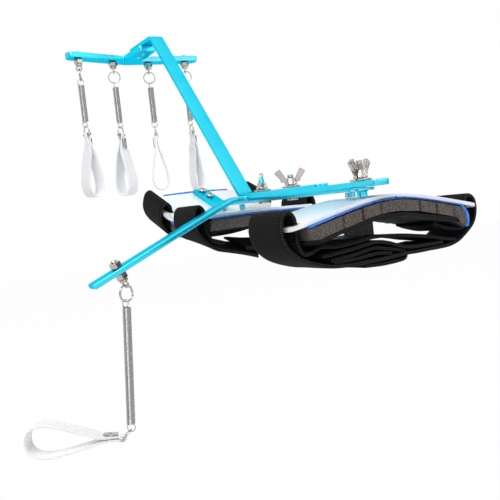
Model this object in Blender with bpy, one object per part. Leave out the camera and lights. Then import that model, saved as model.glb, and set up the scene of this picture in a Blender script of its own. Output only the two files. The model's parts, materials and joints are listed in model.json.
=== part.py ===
# Dynamic wrist and finger splint with a blue outrigger, for a right hand.
# Sizes are in millimetres here and become metres when a mesh is made.
# +Y points to the fingers, +X to the little finger, +Z up.
# The origin lies under the forearm pad, in the middle of its arch.
import math

import bmesh
import bpy
from mathutils import Matrix, Vector

MM = 0.001
GAP = 0.3

# Layers of the two padded shells
FOAM_T = 7.4
COVER_T = 1.0
SHELL_T = 2.0
PAD_T = FOAM_T + COVER_T + SHELL_T + 2 * GAP

# Forearm cuff
CUFF_PAD_HALF = 57.0
CUFF_SLOT_CLEAR = 3.5
CUFF_RIM = 6.0
CUFF_SLOT_X = CUFF_PAD_HALF + CUFF_SLOT_CLEAR
CUFF_SHELL_HALF = CUFF_SLOT_X + CUFF_RIM
CUFF_Y0 = -23.0
CUFF_Y1 = 29.0
CUFF_INSET = 2.5
CUFF_SLOPE = 0.235
CUFF_RIDGE = 20.0
CUFF_STRAP_Y = 0.0
CUFF_POST_Y = 14.0

# Hand shell: flat over the wrist, then turned up over the back of the hand
HAND_PAD_HALF = 39.0
HAND_SLOT_CLEAR = 2.5
HAND_RIM = 5.5
HAND_SLOT_X = HAND_PAD_HALF + HAND_SLOT_CLEAR
HAND_EAR_HALF = HAND_SLOT_X + HAND_RIM
HAND_Y0 = 110.0
HAND_Y1 = 208.0
HAND_TOP = 10.0
HAND_SLOPE = 0.03
HAND_RIDGE = 15.0
HAND_TAPER = 2.0
HAND_PAD_TAPER = 8.0
HAND_LOBE = 7.6
HAND_LOBE_Y0 = 150.0
HAND_LOBE_Y1 = 171.0
HAND_LOBE_EDGE = 3.0
HAND_EAR_TAPER = 3.0
WRIST_ANGLE = 22.0
BEND_Y0 = 152.0
BEND_Y1 = 172.0
WRIST_STRAP_Y = 133.0
HAND_STRAP_Y = 188.0
HAND_POST_Y = 138.0

# Straps
STRAP_W = 32.0
STRAP_T = 2.2
STRAP_RISE = 6.8
STRAP_OUT = 2.6
STRAP_TAIL = 12.0
CUFF_STRAP_SAG = 23.7
WRIST_STRAP_SAG = 30.0
HAND_STRAP_SAG = 27.0
SLOT_W = 4.6
SLOT_PLAY = 2.0

# Blue bar stock
BAR_W = 11.0
BAR_T = 3.3
BAR_EDGE = 0.7
BEND_R = 5.0

# Base bracket and the things that stand on it
BRACKET_Z = 14.4
BRACKET_Y0 = 5.0
TAB_Y = 174.0
TAB_L = 31.3
FOOT_Y0 = 38.0
FOOT_BEND_Y = 131.0
ARM_TOP_Y = 249.5
ARM_TOP_Z = 160.6
FLANGE_TILT = 1.5
FLANGE_L = 46.0
SLOT_Y0 = 47.0
SLOT_Y1 = 119.0
BOLT_R = 2.0
HOLE_PLAY = 0.3
BOLT1_Y = 108.7
BOLT2_Y = 73.1
BOLT_RISE = 13.0
HEAD_R = 3.6
HEAD_T = 0.9

# Thumb bar
THUMB_X = -11.5
THUMB_Z = 16.1
THUMB_Y0 = -28.0
THUMB_PIVOT_Y = -10.4
THUMB_LEG_Y = 107.5
THUMB_TIP_X = -128.0
THUMB_DROP = 23.0
THUMB_FOLD_X = -20.0
THUMB_FOLD_L = 12.0
THUMB_CORNER = 14.0
THUMB_HOOK_BACK = 19.5
THUMB_LEAN = 4.7
BOSS_R = 7.0
BOSS_T = 1.6
BOSS_POST_R = 2.9

# Finger bar
HOOK_SPACING = 34.0
ARM_SWEEP = 11.0
T_ARM_W = 14.0
T_NECK_W = 16.0
T_HALF = 62.0
T_MID = 48.0
T_NECK = 14.0
T_NECK_Y0 = 18.0
T_THICK = 4.4
T_ROLL = 1.3
T_CORNER = 6.0
T_SCREWS = (29.0, 40.0)

# Wing nuts and washers
WING_HUB_R = 4.0
WING_HUB_H = 4.2
WING_SPAN = 10.0
WING_H = 10.2
WING_T = 1.9
WASHER_R = 6.0
WASHER_T = 1.0

# Screws
SCREW_R = 1.5
SCREW_HEAD_R = 3.1
SCREW_HEAD_T = 2.0
TAB_SCREWS = (13.5, 26.0)

# Strands: eye, ring, spring, shackle, loop
EYE_R = 2.2
EYE_WIRE = 0.75
HEX_R = 4.0
HEX_T = 3.8
COLLAR_R = 2.9
COLLAR_T = 2.2
EYE_DROP = 8.0
RING_R = 5.1
RING_WIRE = 0.5
SPRING_R = 2.3
SPRING_WIRE = 0.5
SPRING_HOOK_R = 1.9
SPRING_LEAD = 1.4
FINGER_SPRING = 31.4
THUMB_SPRING = 73.0
FINGER_CURLS = 5
THUMB_CURLS = 11
LINK_PLAY = 0.4
BOW_R = 3.7
BOW_LEG = 3.6
LOOP_L = {"index": 54.0, "middle": 54.0, "ring": 51.0, "little": 54.0, "thumb": 60.0}
LOOP_HALF = {"index": 7.0, "middle": 7.0, "ring": 7.0, "little": 4.0, "thumb": 10.0}
LOOP_T = 1.4
LOOP_W = 14.0
LOOP_NECK_W = 4.6
CLIP_W = 4.4
CLIP_L = 12.5
CLIP_T = 0.8

# How each strand is turned about its own upright, in degrees
RING_TURN = {"index": 68.0, "middle": -22.0, "ring": -22.0, "little": -22.0, "thumb": 20.0}
LOOP_TURN = {"index": 103.0, "middle": 33.0, "ring": 68.0, "little": 88.0, "thumb": 58.0}
THUMB_LINK_TILT = 45.0
THUMB_LOOP_TILT = 90.0
CLIP_TURN = {"index": 180.0, "middle": 180.0, "ring": 0.0, "little": 180.0, "thumb": 0.0}

BLUE = (0.01, 0.42, 0.72, 1.0)
WHITE = (0.86, 0.86, 0.87, 1.0)
COVER_BLUE = (0.02, 0.16, 0.62, 1.0)
FOAM_GREY = (0.09, 0.085, 0.08, 1.0)
BLACK = (0.012, 0.012, 0.014, 1.0)
STEEL = (0.55, 0.54, 0.52, 1.0)


def clear_scene():
    for obj in list(bpy.data.objects):
        bpy.data.objects.remove(obj, do_unlink=True)


MATERIALS = {}


def material(name, colour, metallic, roughness):
    mat = bpy.data.materials.new(name)
    mat.use_nodes = True
    shader = mat.node_tree.nodes["Principled BSDF"]
    shader.inputs["Base Color"].default_value = colour
    shader.inputs["Metallic"].default_value = metallic
    shader.inputs["Roughness"].default_value = roughness
    mat.diffuse_color = colour
    MATERIALS[name] = mat


def make(name, verts, faces, mat):
    mesh = bpy.data.meshes.new(name)
    mesh.from_pydata([tuple(Vector(v) * MM) for v in verts], [], faces)
    bm = bmesh.new()
    bm.from_mesh(mesh)
    bmesh.ops.recalc_face_normals(bm, faces=bm.faces)
    if bm.calc_volume(signed=True) < 0:
        bmesh.ops.reverse_faces(bm, faces=bm.faces)
    bm.to_mesh(mesh)
    bm.free()
    obj = bpy.data.objects.new(name, mesh)
    obj.data.materials.append(MATERIALS[mat])
    bpy.context.scene.collection.objects.link(obj)
    return obj


def loft(rings, closed=False):
    count = len(rings[0])
    verts = [v for ring in rings for v in ring]
    faces = []
    steps = len(rings) if closed else len(rings) - 1
    for i in range(steps):
        a = i * count
        b = ((i + 1) % len(rings)) * count
        for j in range(count):
            k = (j + 1) % count
            faces.append((a + j, a + k, b + k, b + j))
    if not closed:
        faces.append(tuple(range(count))[::-1])
        faces.append(tuple(range(len(verts) - count, len(verts))))
    return verts, faces


def place(verts, matrix):
    return [matrix @ Vector(v) for v in verts]


def combine(obj, other, operation):
    mod = obj.modifiers.new("cut", "BOOLEAN")
    mod.operation = operation
    mod.solver = "EXACT"
    mod.object = other
    depsgraph = bpy.context.evaluated_depsgraph_get()
    mesh = bpy.data.meshes.new_from_object(obj.evaluated_get(depsgraph))
    obj.modifiers.clear()
    old = obj.data
    obj.data = mesh
    mesh.name = obj.name
    bpy.data.meshes.remove(old)
    bpy.data.objects.remove(other, do_unlink=True)
    return obj


def set_origin(name, point):
    # Move an object's origin onto its joint and leave its mesh where it is
    obj = bpy.data.objects[name]
    shift = Vector(point) * MM - obj.location
    obj.data.transform(Matrix.Translation(-shift))
    obj.location += shift


def finish(obj):
    obj.data.shade_smooth()
    obj.data.set_sharp_from_angle(angle=math.radians(35.0))


def circle(radius, count, turn=0.0):
    return [(radius * math.cos(turn + 2 * math.pi * i / count),
             radius * math.sin(turn + 2 * math.pi * i / count)) for i in range(count)]


def disc(radius, z0, z1, matrix, mat, name="cutter", count=14, turn=0.0):
    rings = [[(x, y, z) for x, y in circle(radius, count, turn)] for z in (z0, z1)]
    verts, faces = loft(rings)
    return make(name, place(verts, matrix), faces, mat)


def turned(profile, matrix, name, mat, count=20, turn=0.0):
    rings = [[(x, y, z) for x, y in circle(r, count, turn)] for r, z in profile]
    verts, faces = loft(rings)
    return make(name, place(verts, matrix), faces, mat)


def prism(outline, z0, z1, matrix, name, mat):
    rings = [[(x, y, z) for x, y in outline] for z in (z0, z1)]
    verts, faces = loft(rings)
    return make(name, place(verts, matrix), faces, mat)


def eased_prism(outline, z0, z1, edge, matrix, name, mat):
    inner = inset(outline, edge)
    rings = [[(x, y, z0) for x, y in inner],
             [(x, y, z0 + edge) for x, y in outline],
             [(x, y, z1 - edge) for x, y in outline],
             [(x, y, z1) for x, y in inner]]
    verts, faces = loft(rings)
    return make(name, place(verts, matrix), faces, mat)


def inset(outline, amount):
    points = [Vector(p) for p in outline]
    area = sum(a.x * b.y - b.x * a.y for a, b in zip(points, points[1:] + points[:1]))
    side = 1.0 if area > 0 else -1.0
    result = []
    for i, p in enumerate(points):
        before = (p - points[i - 1]).normalized()
        after = (points[(i + 1) % len(points)] - p).normalized()
        n0 = Vector((-before.y, before.x)) * side
        n1 = Vector((-after.y, after.x)) * side
        mid = (n0 + n1).normalized()
        result.append(tuple(p + mid * amount / max(mid.dot(n0), 0.3)))
    return result


def rounded(points, radii, steps=4):
    # Corner fillets on a closed outline of 2-D points
    result = []
    count = len(points)
    for i in range(count):
        p = Vector(points[i])
        radius = radii[i] if isinstance(radii, (list, tuple)) else radii
        a = (Vector(points[i - 1]) - p).normalized()
        b = (Vector(points[(i + 1) % count]) - p).normalized()
        if radius <= 0:
            result.append(tuple(p))
            continue
        half = a.angle(b) / 2
        reach = radius / math.tan(half)
        centre = p + (a + b).normalized() * radius / math.sin(half)
        start = p + a * reach - centre
        end = p + b * reach - centre
        for k in range(steps + 1):
            mix = start.lerp(end, k / steps).normalized() * radius
            result.append(tuple(centre + mix))
    return result


def bent_path(points, radius, steps=5):
    # Open path of 2-D points with rounded bends
    result = [Vector(points[0])]
    for i in range(1, len(points) - 1):
        p = Vector(points[i])
        a = (Vector(points[i - 1]) - p).normalized()
        b = (Vector(points[i + 1]) - p).normalized()
        half = a.angle(b) / 2
        reach = radius / math.tan(half)
        centre = p + (a + b).normalized() * radius / math.sin(half)
        start = p + a * reach - centre
        end = p + b * reach - centre
        turn = math.pi - 2 * half
        axis = 1.0 if a.x * b.y - a.y * b.x < 0 else -1.0
        for k in range(steps + 1):
            angle = axis * turn * k / steps
            c, s = math.cos(angle), math.sin(angle)
            result.append(centre + Vector((start.x * c - start.y * s, start.x * s + start.y * c)))
    result.append(Vector(points[-1]))
    return result


def bar_section(width, thick, edge):
    w, t = width / 2, thick / 2
    return [(-w, -t + edge), (-w + edge, -t), (w - edge, -t), (w, -t + edge),
            (w, t - edge), (w - edge, t), (-w + edge, t), (-w, t - edge)]


def flat_bar(path, x, name, mat="anodised"):
    # A flat bar whose path lies in the YZ plane and whose width runs along X
    section = bar_section(BAR_W, BAR_T, BAR_EDGE)
    rings = []
    for i, p in enumerate(path):
        before = (p - path[i - 1]).normalized() if i else None
        after = (path[i + 1] - p).normalized() if i < len(path) - 1 else None
        if before is None:
            along, stretch = after, 1.0
        elif after is None:
            along, stretch = before, 1.0
        else:
            along = (before + after).normalized()
            stretch = 1.0 / max(along.dot(before), 0.5)
        normal = Vector((-along.y, along.x)) * stretch
        rings.append([(x + u, p.x + normal.x * v, p.y + normal.y * v) for u, v in section])
    verts, faces = loft(rings)
    return make(name, verts, faces, mat)


def tube(path, radius, name, mat, sides=6, closed=False):
    pts = [Vector(p) for p in path]
    count = len(pts)
    tangents = []
    for i in range(count):
        if closed:
            t = pts[(i + 1) % count] - pts[i - 1]
        elif i == 0:
            t = pts[1] - pts[0]
        elif i == count - 1:
            t = pts[-1] - pts[-2]
        else:
            t = (pts[i + 1] - pts[i]).normalized() + (pts[i] - pts[i - 1]).normalized()
        tangents.append(t.normalized())
    normal = tangents[0].orthogonal().normalized()
    normals = [normal]
    for i in range(1, count):
        normal = normals[-1].copy()
        normal.rotate(tangents[i - 1].rotation_difference(tangents[i]))
        normals.append((normal - tangents[i] * normal.dot(tangents[i])).normalized())
    twist = 0.0
    if closed:
        last = normals[-1].copy()
        last.rotate(tangents[-1].rotation_difference(tangents[0]))
        twist = math.atan2(tangents[0].dot(last.cross(normals[0])), last.dot(normals[0]))
    rings = []
    for i in range(count):
        side = tangents[i].cross(normals[i])
        ring = []
        for k in range(sides):
            a = 2 * math.pi * k / sides + twist * i / count
            ring.append(pts[i] + (normals[i] * math.cos(a) + side * math.sin(a)) * radius)
        rings.append(ring)
    verts, faces = loft(rings, closed)
    return make(name, verts, faces, mat)


def upright(angle):
    return Matrix.Rotation(math.radians(angle), 4, "Z")


def at(x, y, z):
    return Matrix.Translation((x, y, z))


# Padded shells


def cuff_drop(x):
    return -CUFF_SLOPE * (math.hypot(x, CUFF_RIDGE) - CUFF_RIDGE)


def hand_drop(x):
    return -HAND_SLOPE * (math.hypot(x, HAND_RIDGE) - HAND_RIDGE)


def hand_line(y):
    # Height of the hand shell's top along its middle
    rise = math.tan(math.radians(WRIST_ANGLE))
    if y <= BEND_Y0:
        return HAND_TOP
    if y <= BEND_Y1:
        return HAND_TOP + rise * (y - BEND_Y0) ** 2 / (2 * (BEND_Y1 - BEND_Y0))
    return HAND_TOP + rise * (BEND_Y1 - BEND_Y0) / 2 + rise * (y - BEND_Y1)


def cuff_top(x, y):
    return PAD_T + cuff_drop(x)


def hand_top(x, y):
    return hand_line(y) + hand_drop(x)


def hand_half(y, ears):
    past = max(0.0, (y - BEND_Y0) / (HAND_Y1 - BEND_Y0))
    if not ears:
        # Between the two straps the pad reaches out under the shell's rim
        inside = min(y - HAND_LOBE_Y0, HAND_LOBE_Y1 - y) / HAND_LOBE_EDGE
        return HAND_PAD_HALF - HAND_PAD_TAPER * past + HAND_LOBE * min(max(inside, 0.0), 1.0)
    return HAND_EAR_HALF - HAND_EAR_TAPER * past


def layer(name, mat, half, top, depth, thick, y0, y1, corner, nx, ny):
    # A sheet that lies depth under a top surface and is thick deep
    ends = []
    for k in range(4):
        ends.append(corner * (1 - math.cos(math.pi * k / 6)))
    ys = [y0 + e for e in ends]
    inner0, inner1 = y0 + corner, y1 - corner
    for k in range(1, ny):
        ys.append(inner0 + (inner1 - inner0) * k / ny)
    ys += [y1 - e for e in reversed(ends)]
    rows_top, rows_low = [], []
    for y in ys:
        d = min(y - y0, y1 - y, corner)
        pull = corner - math.sqrt(max(corner * corner - (corner - d) ** 2, 0.0))
        h = half(y) - pull
        row = [h * (2 * i / nx - 1) for i in range(nx + 1)]
        rows_top.append([(x, y, top(x, y) - depth) for x in row])
        rows_low.append([(x, y, top(x, y) - depth - thick) for x in row])
    rings = [a + b[::-1] for a, b in zip(rows_top, rows_low)]
    count = len(rings[0])
    verts = [v for ring in rings for v in ring]
    faces = []
    for i in range(len(rings) - 1):
        for j in range(count):
            k = (j + 1) % count
            faces.append((i * count + j, i * count + k, (i + 1) * count + k, (i + 1) * count + j))
    for base in (0, len(verts) - count):
        for j in range(nx):
            faces.append((base + j, base + j + 1, base + count - 2 - j, base + count - 1 - j))
    return make(name, verts, faces, mat)


def slot_cutter(x, y, length, matrix=None):
    outline = rounded([(-SLOT_W / 2, -length / 2), (SLOT_W / 2, -length / 2),
                       (SLOT_W / 2, length / 2), (-SLOT_W / 2, length / 2)], SLOT_W / 2 - 0.2, 3)
    return prism(outline, -25.0, 25.0, (matrix or at(0, 0, 0)) @ at(x, y, 0), "cutter", "shell")


def strap_frame():
    # Local frame of the strap on the turned-up part of the hand shell
    return at(0, HAND_STRAP_Y, hand_line(HAND_STRAP_Y)) @ Matrix.Rotation(math.radians(WRIST_ANGLE), 4, "X")


def build_shells():
    cuff = layer("cuff_shell", "shell", lambda y: CUFF_SHELL_HALF, cuff_top, 0.0, SHELL_T,
                 CUFF_Y0 + CUFF_INSET, CUFF_Y1 - CUFF_INSET, 5.0, 14, 2)
    for side in (-1, 1):
        combine(cuff, slot_cutter(side * CUFF_SLOT_X, CUFF_STRAP_Y, STRAP_W + SLOT_PLAY), "DIFFERENCE")
    depth = SHELL_T + GAP
    layer("cuff_cover", "cover", lambda y: CUFF_PAD_HALF, cuff_top, depth, COVER_T,
          CUFF_Y0, CUFF_Y1, 8.0, 14, 2)
    depth += COVER_T + GAP
    layer("cuff_foam", "foam", lambda y: CUFF_PAD_HALF, cuff_top, depth, FOAM_T,
          CUFF_Y0, CUFF_Y1, 8.0, 14, 2)

    hand = layer("hand_shell", "shell", lambda y: hand_half(y, True), hand_top, 0.0, SHELL_T,
                 HAND_Y0 + CUFF_INSET, HAND_Y1 - CUFF_INSET, 7.0, 10, 9)
    for side in (-1, 1):
        combine(hand, slot_cutter(side * HAND_SLOT_X, WRIST_STRAP_Y, STRAP_W + SLOT_PLAY), "DIFFERENCE")
        cutter = slot_cutter(side * (HAND_SLOT_X - HAND_TAPER), 0, STRAP_W + SLOT_PLAY, strap_frame())
        combine(hand, cutter, "DIFFERENCE")
    for along in TAB_SCREWS:
        cutter = disc(SCREW_R + HOLE_PLAY, -12, 12, tab_frame() @ at(0, along, 0), "shell")
        combine(hand, cutter, "DIFFERENCE")
    depth = SHELL_T + GAP
    layer("hand_cover", "cover", lambda y: hand_half(y, False), hand_top, depth, COVER_T,
          HAND_Y0, HAND_Y1, 7.0, 8, 28)
    depth += COVER_T + GAP
    layer("hand_foam", "foam", lambda y: hand_half(y, False), hand_top, depth, FOAM_T,
          HAND_Y0, HAND_Y1, 7.0, 8, 28)


def smooth(points, per=4):
    # Catmull-Rom through open 2-D points
    pts = [Vector(p) for p in points]
    pts = [pts[0] * 2 - pts[1]] + pts + [pts[-1] * 2 - pts[-2]]
    result = []
    for i in range(1, len(pts) - 2):
        a, b, c, d = pts[i - 1:i + 3]
        for k in range(per):
            t = k / per
            result.append(0.5 * ((2 * b) + (c - a) * t + (2 * a - 5 * b + 4 * c - d) * t * t
                                 + (3 * b - a - 3 * c + d) * t * t * t))
    result.append(pts[-2])
    return result


def strap(name, points, matrix, per=3):
    path = smooth(points, per)
    rings = []
    for i, p in enumerate(path):
        if i == 0:
            along = path[1] - p
        elif i == len(path) - 1:
            along = p - path[-2]
        else:
            along = path[i + 1] - path[i - 1]
        along.normalize()
        n = Vector((-along.y, along.x)) * STRAP_T / 2
        rings.append([(p.x + n.x, -STRAP_W / 2, p.y + n.y), (p.x + n.x, STRAP_W / 2, p.y + n.y),
                      (p.x - n.x, STRAP_W / 2, p.y - n.y), (p.x - n.x, -STRAP_W / 2, p.y - n.y)])
    verts, faces = loft(rings)
    return make(name, place(verts, matrix), faces, "webbing")


def strap_side(x, z, rim):
    # Left side of a strap: tail under the pad, up through the slot, over the rim and down
    out = rim + STRAP_OUT
    under = z - PAD_T
    tail = [(-x + STRAP_TAIL, under - 6.4), (-x + 4.2, under - 5.0), (-x + 0.3, z - 10.0)]
    over = [(-x, z - 3.0), (-x, z + 1.5), (-x - 1.1, z + STRAP_RISE - 2.0), (-x - 4.0, z + STRAP_RISE)]
    down = [(-x - out + 1.3, z + STRAP_RISE - 2.0), (-x - out, z), (-x - out + 0.2, z - 6.0),
            (-x - out + 3.3, z - 12.5), (-x + 2.5, z - 18.5)]
    return tail + over + down


def strap_ring(name, x, z, rim, low, matrix):
    left = strap_side(x, z, rim)
    right = [(-px, pz) for px, pz in reversed(left)]
    return strap(name, left + low + right, matrix)


def build_straps():
    x = CUFF_SLOT_X
    z = PAD_T + cuff_drop(x)
    sag = CUFF_STRAP_SAG
    low = [(-x + 20.0, z - sag + 1.2), (-15.0, z - sag), (15.0, z - sag), (x - 20.0, z - sag + 1.2)]
    strap_ring("forearm_strap", x, z, CUFF_RIM, low, at(0, CUFF_STRAP_Y, 0))

    x = HAND_SLOT_X
    sag = WRIST_STRAP_SAG
    low = [(-18.0, 2.0 - sag), (0.0, -sag), (18.0, 2.0 - sag)]
    strap_ring("wrist_strap", x, hand_drop(x), HAND_RIM, low, at(0, WRIST_STRAP_Y, HAND_TOP))
    x = HAND_SLOT_X - HAND_TAPER
    sag = HAND_STRAP_SAG
    low = [(-18.0, 2.0 - sag), (0.0, -sag), (18.0, 2.0 - sag)]
    strap_ring("hand_strap", x, hand_drop(x), HAND_RIM, low, strap_frame())


# Bars


def tab_frame():
    # On the shell's top at the bracket's bend, with Y up the slope
    return at(0, TAB_Y, hand_line(TAB_Y)) @ Matrix.Rotation(math.radians(WRIST_ANGLE), 4, "X")


def pan_screw(name, matrix, shank):
    # Head rests on z = 0 of the frame, shank goes down
    r = SCREW_HEAD_R
    profile = [(SCREW_R, -shank), (SCREW_R, 0.0), (r, 0.0), (r, 0.9), (r * 0.82, SCREW_HEAD_T * 0.8),
               (r * 0.45, SCREW_HEAD_T)]
    return turned(profile, matrix, name, "steel", 12)


def build_bracket():
    mid = BRACKET_Z + BAR_T / 2
    end = tab_frame() @ Vector((0, TAB_L, GAP + BAR_T / 2))
    start = tab_frame() @ Vector((0, 6.0, GAP + BAR_T / 2))
    slope = (end - start).normalized()
    bend_y = start.y + (mid - start.z) / slope.z * slope.y
    path = bent_path([(BRACKET_Y0, mid), (bend_y, mid), (end.y, end.z)], BEND_R + BAR_T / 2)
    bracket = flat_bar(path, 0.0, "base_bracket")
    for y in (BOLT1_Y, BOLT2_Y):
        combine(bracket, disc(BOLT_R + HOLE_PLAY, 0, 40, at(0, y, 0), "anodised"), "DIFFERENCE")
    seat = GAP + BAR_T
    for along in TAB_SCREWS:
        cutter = disc(SCREW_R + HOLE_PLAY, -12, 12, tab_frame() @ at(0, along, 0), "anodised")
        combine(bracket, cutter, "DIFFERENCE")
    for name, along in zip(("tab_screw_rear", "tab_screw_front"), TAB_SCREWS):
        pan_screw(name, tab_frame() @ at(0, along, seat + GAP), seat + SHELL_T)
    disc(2.0, HAND_TOP + GAP, BRACKET_Z - GAP, at(0, HAND_POST_Y, 0), "anodised", "hand_spacer", 14)
    disc(3.0, PAD_T + GAP, BRACKET_Z - GAP, at(0, CUFF_POST_Y, 0), "anodised", "cuff_spacer", 14)


def flange_frame():
    # On the middle line of the flange, where the arm turns over, Y along the flange
    return at(0, ARM_TOP_Y, ARM_TOP_Z) @ Matrix.Rotation(math.radians(-FLANGE_TILT), 4, "X")


def plate_frame():
    # Under side of the finger plate
    roll = Matrix.Rotation(math.radians(T_ROLL), 4, "Y")
    return flange_frame() @ at(0, 0, -BAR_T / 2 - GAP) @ roll @ at(0, 0, -T_THICK)


def t_line(x):
    return T_MID + T_NECK - abs(x) * math.tan(math.radians(ARM_SWEEP))


def hook_points():
    names = ("index", "middle", "ring", "little")
    return {n: ((i - 1.5) * HOOK_SPACING, t_line((i - 1.5) * HOOK_SPACING)) for i, n in enumerate(names)}


def build_arm():
    mid = BRACKET_Z + BAR_T + GAP + BAR_T / 2
    end = flange_frame() @ Vector((0, FLANGE_L, 0))
    path = bent_path([(FOOT_Y0, mid), (FOOT_BEND_Y, mid), (ARM_TOP_Y, ARM_TOP_Z), (end.y, end.z)],
                     BEND_R + BAR_T / 2)
    arm = flat_bar(path, 0.0, "arm")
    w = BOLT_R + HOLE_PLAY
    outline = rounded([(-w, SLOT_Y0), (w, SLOT_Y0), (w, SLOT_Y1), (-w, SLOT_Y1)], w - 0.1, 3)
    combine(arm, prism(outline, 0, 40, at(0, 0, 0), "cutter", "anodised"), "DIFFERENCE")
    for along in T_SCREWS:
        cutter = disc(SCREW_R + HOLE_PLAY, -8, 8, flange_frame() @ at(0, along, 0), "anodised")
        combine(arm, cutter, "DIFFERENCE")

    neck = T_NECK_W / 2
    near = t_line(T_HALF) - T_ARM_W / 2
    inner = t_line(neck) - T_ARM_W / 2
    outline = [(-neck, T_NECK_Y0), (neck, T_NECK_Y0), (neck, inner),
               (T_HALF - 1.4, near), (T_HALF + 1.4, near + T_ARM_W), (0, t_line(0) + T_ARM_W / 2),
               (-T_HALF - 1.4, near + T_ARM_W), (-T_HALF + 1.4, near), (-neck, inner)]
    end = T_CORNER
    outline = rounded(outline, [3.0, 3.0, 2.0, end, end, 30.0, end, end, 2.0], 3)
    plate = eased_prism(outline, 0, T_THICK, BAR_EDGE, plate_frame(), "finger_bar", "anodised")
    for along in T_SCREWS:
        cutter = disc(SCREW_R + HOLE_PLAY, -8, 8, plate_frame() @ at(0, along, 0), "anodised")
        combine(plate, cutter, "DIFFERENCE")
    for x, y in hook_points().values():
        combine(plate, disc(BOLT_R + HOLE_PLAY, -8, 8, plate_frame() @ at(x, y, 0), "anodised"), "DIFFERENCE")
    seat = flange_frame() @ at(0, 0, BAR_T / 2 + GAP)
    for name, along in zip(("bar_screw_rear", "bar_screw_front"), T_SCREWS):
        pan_screw(name, seat @ at(0, along, 0), BAR_T + T_THICK + 2 * GAP + 0.5)


def build_thumb_bar():
    # Plan of the flat bar: a long leg along Y and a side leg that folds down
    half = BAR_W / 2
    drop = math.radians(THUMB_DROP)
    radius = THUMB_FOLD_L / drop
    tip = thumb_fold_end()[0] - thumb_leg_length() - THUMB_FOLD_L + radius * math.sin(drop)
    y_in, y_out = THUMB_LEG_Y - half, THUMB_LEG_Y + half
    x_in, x_out = THUMB_X - half, THUMB_X + half
    outline = [(x_in, THUMB_Y0), (x_out, THUMB_Y0), (x_out, y_out), (tip, y_out), (tip, y_in), (x_in, y_in)]
    outline = rounded(outline, [2.0, 2.0, THUMB_CORNER, 2.5, 2.5, 6.0], 4)
    bar = eased_prism(outline, 0.0, BAR_T, BAR_EDGE, at(0, 0, 0), "thumb_bar", "anodised")
    bm = bmesh.new()
    bm.from_mesh(bar.data)
    for k in range(4):
        x = (THUMB_FOLD_X - THUMB_FOLD_L * k / 3) * MM
        geom = bm.verts[:] + bm.edges[:] + bm.faces[:]
        bmesh.ops.bisect_plane(bm, geom=geom, plane_co=(x, 0, 0), plane_no=(1, 0, 0))
    for v in bm.verts:
        run = max(THUMB_FOLD_X - v.co.x / MM, 0.0)
        height = v.co.z / MM
        if run == 0.0:
            v.co.z += THUMB_Z * MM
            continue
        a = min(run, THUMB_FOLD_L) / radius
        rest = max(run - THUMB_FOLD_L, 0.0)
        x = THUMB_FOLD_X - (radius + height) * math.sin(a) - rest * math.cos(drop)
        z = THUMB_Z - radius * (1 - math.cos(a)) - rest * math.sin(drop) + height * math.cos(a)
        v.co.x = x * MM
        v.co.z = z * MM
    bmesh.ops.recalc_face_normals(bm, faces=bm.faces)
    bm.to_mesh(bar.data)
    bm.free()
    hole = BOLT_R + HOLE_PLAY
    combine(bar, disc(hole, 0, 40, at(THUMB_X, THUMB_PIVOT_Y, 0), "anodised"), "DIFFERENCE")
    combine(bar, disc(hole, -9, 9, thumb_hook_frame(), "anodised"), "DIFFERENCE")


def thumb_fold_end():
    # Where the fold ends on the under side, as (x, z)
    drop = math.radians(THUMB_DROP)
    radius = THUMB_FOLD_L / drop
    return THUMB_FOLD_X - radius * math.sin(drop), THUMB_Z - radius * (1 - math.cos(drop))


def thumb_leg_length():
    return (thumb_fold_end()[0] - THUMB_TIP_X) / math.cos(math.radians(THUMB_DROP))


def thumb_hook_frame():
    # Under side of the sloping leg at the eye bolt, Z up through the bar
    drop = math.radians(THUMB_DROP)
    x, z = thumb_fold_end()
    reach = thumb_leg_length() - THUMB_HOOK_BACK
    point = Vector((x - reach * math.cos(drop), THUMB_LEG_Y, z - reach * math.sin(drop)))
    return Matrix.Translation(point) @ Matrix.Rotation(-drop, 4, "Y")


# Clamps


def wing_nut(name, matrix):
    profile = [(WING_HUB_R, 0), (WING_HUB_R, 1.2), (WING_HUB_R * 0.8, WING_HUB_H)]
    hub = turned(profile, matrix, name, "steel", 16)
    for side in (-1, 1):
        outline = [(1.0, 0.6), (WING_HUB_R - 0.2, 0.6), (WING_SPAN - 2.2, WING_H - 6.2),
                   (WING_SPAN, WING_H - 1.4), (WING_SPAN - 1.6, WING_H), (WING_SPAN - 4.6, WING_H - 0.8),
                   (WING_HUB_R - 1.0, WING_HUB_H)]
        outline = [(side * x, z) for x, z in outline]
        blade = prism(outline, -WING_T / 2, WING_T / 2, matrix @ Matrix.Rotation(math.pi / 2, 4, "X"),
                      "cutter", "steel")
        combine(hub, blade, "UNION")
    combine(hub, disc(BOLT_R + HOLE_PLAY, -1, 20, matrix, "steel"), "DIFFERENCE")
    return hub


def washer(name, matrix):
    ring = disc(WASHER_R, 0, WASHER_T, matrix, "steel", name, 24)
    return combine(ring, disc(BOLT_R + HOLE_PLAY, -1, 3, matrix, "steel"), "DIFFERENCE")


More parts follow.
